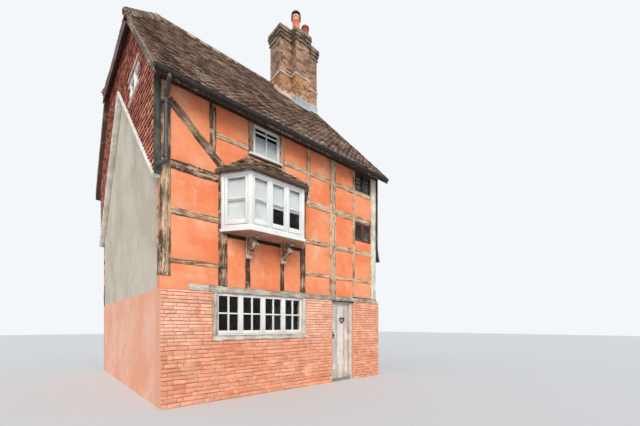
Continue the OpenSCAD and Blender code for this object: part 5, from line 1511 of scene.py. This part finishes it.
def scrollBracket(middle, seed):
    # a thick band along the scroll line, a core between it and the wall, a back slab, a top plate, a foot
    # block of two steps and round knobs on both cheeks
    top, path = oriel["bracketTop"], scrollPath()
    step = np.gradient(path, axis=0)
    step /= np.linalg.norm(step, axis=1)[:, None]
    aside = np.stack([-step[:, 1], step[:, 0]], -1)
    half, thick, cut = 0.045, 0.011, 0.004
    ring = np.array([[half - cut, -thick], [half, cut - thick], [half, thick - cut], [half - cut, thick],
                     [cut - half, thick], [-half, thick - cut], [-half, cut - thick], [cut - half, -thick]])
    reach = path[:, None] - aside[:, None] * (thick + 0.001) + aside[:, None] * ring[None, :, 1:]
    width = np.repeat(ring[None, :, 0], len(path), 0)
    ribbon = np.stack([middle + width, -reach[..., 0], top + reach[..., 1]], -1)
    shade = np.interp(-path[:, 1], [0.02, 0.10, 0.125, 0.15, 0.26, 0.31, 0.43],
                      [0.2, 0.0, -0.2, 1.0, 1.1, 0.3, 1.0])
    parts = [patch(*sweepRings(ribbon), np.append(np.repeat(shade, 8), [0.3, 0.5]))]
    share = np.linspace(0, 1, 5)[:, None, None]
    grid = path[None] * (1 - share) + (path * (0, 1) + (0.002, 0))[None] * share
    front = np.stack([np.full(grid.shape[:2], middle - 0.037), -grid[..., 0], top + grid[..., 1]], -1)
    parts.append(gridSlab(front, front + (0.074, 0, 0), tone=0.22))
    # half width, distance out, foot and head under the top
    blocks = [(0.052, 0.024, 0.465, 0.0), (0.054, oriel["bracketOut"] - 0.004, 0.021, 0.0),
              (0.048, 0.084, 0.425, 0.375), (0.055, 0.094, 0.459, 0.425)]
    boxes = [(middle - side, middle + side, -out, 0.0, top - foot, top - head)
             for side, out, foot, head in blocks]
    parts.append(planedBars(boxes, 0.005, seed, 0.9))
    for (out, drop), radius in (((0.382, 0.062), 0.026), ((0.296, 0.214), 0.058)):
        profile = [(radius, 0.034), (radius * 0.9, 0.045), (radius * 0.6, 0.052), (radius * 0.2, 0.054)]
        for side in (1, -1):
            knob = ringOfRevolution(profile, (0, 0, 0), 14)
            radial, up, away = knob["points"].T
            turned = np.stack([middle + side * away, radial - out, top - drop + side * up], -1)
            parts.append({**knob, "points": turned, "grain": turned})
    return parts


def makeBrackets():
    parts = []
    for index, middle in enumerate((oriel["x0"] + oriel["roofIn"], oriel["x1"] - oriel["roofIn"])):
        parts += scrollBracket(middle, 880 + index)
    buildPiece("carvedBrackets", parts, carvedOak, ["oriel_brackets"])


makeOrielJoinery()
makeOrielTiles()
makeBlinds()
makeOrielUnderside()
makeBrackets()
print("oriel ready")


# Door: three broad planks on ledges in a worn frame

door = {
    "left": 4.339, "right": 5.011, "foot": 0.059, "head": 2.151, "face": 0.080, "back": 0.125,
    "joints": (4.556, 4.837), "ledges": (0.34, 1.10, 1.87), "ledgeHalf": 0.06, "heart": (4.727, 1.68, 0.085),
    # each painted gap shadow's ends, width, depth and wobble
    "gapShades": [((4.25, -0.030, 2.192), (5.14, -0.030, 2.186), 0.022, 0.05, 0.004),
             ((5.10, -0.020, 2.334), (5.93, -0.020, 2.322), 0.026, 0.04, 0.006)],
    # each frame bar's ends, as X and Z, its width, wobble and tone
    "frame": [(4.31, 0, 4.31, 2.14, 0.08, 0.002, 0.85), (5.065, 0, 5.065, 2.14, 0.13, 0.002, 0.85),
              (doorway[0], 2.17, doorway[1], 2.17, 0.06, 0.003, 0.6)],
}


def makeDoor():
    # planks of the leaf, their ledges behind, and the frame's two posts and head
    edges = [door["left"], *door["joints"], door["right"]]
    parts = []
    for index, (a, b) in enumerate(zip(edges[:-1], edges[1:])):
        middle = (a + b) / 2
        parts.append(timberBar((middle, door["face"], door["foot"]), (middle, door["face"], door["head"]),
                               frontNormal, b - a - 0.005, 0.030, 900 + index, wobble=0.0012, chamfer=0.006))
    for index, z in enumerate(door["ledges"]):
        ledge = (door["left"] + 0.03, door["right"] - 0.03, door["face"] + 0.030, door["back"],
                 z - door["ledgeHalf"], z + door["ledgeHalf"])
        parts.append(planedBars([ledge], 0.004, 910 + index))
    buildPiece("plankedDoor", parts, doorPaint, ["door_leaf"], body="door")
    bars = [timberBar((x0, 0.035, z0), (x1, 0.035, z1), frontNormal, width, 0.09, 921 + index, wobble=wobble,
                      tone=tone)
            for index, (x0, z0, x1, z1, width, wobble, tone) in enumerate(door["frame"])]
    buildPiece("wornDoorFrame", bars, paleOak, ["door_frame"])


def makeHeart():
    # a heart of twisted twigs on the door: five strands wound about a heart-shaped line
    x, z, half = door["heart"]
    stations, around, strands = 72, 6, 5
    turn = np.linspace(0, 2 * np.pi, stations, endpoint=False)
    height = 13 * np.cos(turn) - 5 * np.cos(2 * turn) - 2 * np.cos(3 * turn) - np.cos(4 * turn)
    line = np.stack([16 * np.sin(turn) ** 3, np.zeros(stations), height], -1) / 17 * half
    step = np.roll(line, -1, 0) - np.roll(line, 1, 0)
    step /= np.linalg.norm(step, axis=1)[:, None]
    aside = np.cross(step, frontNormal)
    ring = np.stack([0.006 * (math.cos(t) * aside + math.sin(t) * frontNormal)
                     for t in np.arange(around) * math.pi / 3], 1)
    first = np.arange(around)
    after, last = (first + 1) % around, (stations - 1) * around
    faces = [gridQuads(stations, around, wrap=True), np.stack([first + last, after + last, after, first], -1)]
    parts = []
    for strand in range(strands):
        wind = 9 * turn + strand * 2 * np.pi / strands
        middle = line + 0.011 * (np.cos(wind)[:, None] * aside + np.sin(wind)[:, None] * frontNormal)
        middle += np.array([x, door["face"] - 0.024, z])
        parts.append(patch(middle[:, None] + ring, faces, 0.2 + 0.15 * strand))
    buildPiece("twigHeart", parts, darkBoard, body="door")


def makeHeadGapShades():
    # dark bars of painted shade in the gaps over the door's head and over the short beam right of it
    gapShades = [timberBar(start, end, frontNormal, width, depth, 931 + index, wobble=wobble)
            for index, (start, end, width, depth, wobble) in enumerate(door["gapShades"])]
    buildPiece("beamGapShades", gapShades, shadedOak)


makeDoor()
makeHeart()
makeHeadGapShades()


# Eaves and verges: bedding mortar and gutter brackets

def makeVerges():
    # mortar bedding under the tiles' ends, up to the half hip at the left and to the ridge at the right
    parts = []
    hipY = (roof["vergeTopZ"] - roof["eaveZ"]) / math.tan(roof["pitch"]) + roof["eaveY"]
    drop, out = 0.012, 0.008
    ends = [(roof["leftVerge"] - out, -1, hipY, roof["vergeTopZ"]),
            (roof["rightVerge"] + out, 1, roof["ridgeY"], roof["ridgeZ"])]
    for index, (x, side, endY, endZ) in enumerate(ends):
        bar = timberBar((x, roof["eaveY"], roof["eaveZ"] - drop), (x, endY, endZ - drop), (side, 0, 0), 0.036,
                        0.03, 930 + index, wobble=0.005, chamfer=0.008)
        parts += [bar] + toRear([bar])
    buildPiece("vergeMortar", parts, vergeBed)


gutter = {"y": -0.357, "z": 5.945, "radii": (0.063, 0.056), "strap": 0.025, "spacing": 0.8}


def makeGutterBrackets():
    # straps bent round the gutter's underside
    turn = np.radians(np.linspace(212, 328, 11))
    parts = []
    for x in np.arange(-0.1, 6.25, gutter["spacing"]):
        across = np.array([[x], [x + gutter["strap"]]]) + 0 * turn
        parts.append(gridSlab(*(np.stack([across, gutter["y"] + r * np.cos(turn) + 0 * across,
                                          gutter["z"] + r * np.sin(turn) + 0 * across], -1)
                                for r in gutter["radii"])))
    buildPiece("gutterBrackets", parts + toRear(parts), blackIron)


makeVerges()
makeGutterBrackets()


# Camera at the photograph's place, level, its frame shifted up; soft sky and a broad sun from the left

view = {"place": (-4.694, -9.6, 1.525), "azimuth": -math.atan2(0.6617, 0.7497), "lens": 17.775,
        "shift": 0.1758}
light = {"sky": (0.80, 0.87, 1.0, 1), "skyStrength": 0.72, "shown": (0.90, 0.93, 0.96, 1), "sun": 2.4,
         "sunAngle": math.radians(35), "sunColour": (1.0, 0.97, 0.92), "sunTowards": (0.45, 0.75, -0.62),
         "floor": (0.62, 0.62, 0.61, 1), "floorHalf": 60.0}


def makeCamera():
    camera = bpy.data.objects.new("photoCamera", bpy.data.cameras.new("photoCamera"))
    bpy.context.scene.collection.objects.link(camera)
    camera.location = view["place"]
    camera.rotation_euler = (math.pi / 2, 0, view["azimuth"])
    camera.data.lens = view["lens"]
    camera.data.sensor_width = 36.0
    camera.data.sensor_fit = "HORIZONTAL"
    camera.data.shift_y = view["shift"]
    camera.data.clip_end = 200
    bpy.context.scene.camera = camera


def makeStage():
    mesh = bpy.data.meshes.new("paleFloor")
    half = light["floorHalf"]
    mesh.from_pydata([(-half, -half, 0), (half, -half, 0), (half, half, 0), (-half, half, 0)], [],
                     [(0, 1, 2, 3)])
    mesh.materials.append(startMaterial("paleFloor", 0.9, **{"Base Color": light["floor"]})[0])
    floor = bpy.data.objects.new("paleFloor", mesh)
    bpy.context.scene.collection.objects.link(floor)


def makeLight():
    # the world lights with one colour and shows another to the camera and in reflections
    world = bpy.data.worlds.new("softSky")
    bpy.context.scene.world = world
    world.use_nodes = True
    tree = world.node_tree
    plain = tree.nodes["Background"]
    plain.inputs["Color"].default_value = light["sky"]
    plain.inputs["Strength"].default_value = light["skyStrength"]
    shown = put(tree, "ShaderNodeBackground", {"Color": light["shown"], "Strength": 1.0})[0]
    path = put(tree, "ShaderNodeLightPath")
    seen = maths(tree, "MAXIMUM", path["Is Glossy Ray"], path["Is Transmission Ray"])
    seen = maths(tree, "MAXIMUM", path["Is Camera Ray"], seen)
    mix = put(tree, "ShaderNodeMixShader", {0: seen, 1: plain.outputs[0], 2: shown})[0]
    tree.links.new(mix, tree.nodes["World Output"].inputs["Surface"])
    lamp = bpy.data.lights.new("softSun", "SUN")
    lamp.energy, lamp.angle, lamp.color = light["sun"], light["sunAngle"], light["sunColour"]
    sun = bpy.data.objects.new("softSun", lamp)
    sun.rotation_euler = Vector(light["sunTowards"]).to_track_quat("-Z", "Y").to_euler()
    bpy.context.scene.collection.objects.link(sun)


makeCamera()
makeStage()
makeLight()
bpy.context.scene.view_settings.view_transform = "Standard"
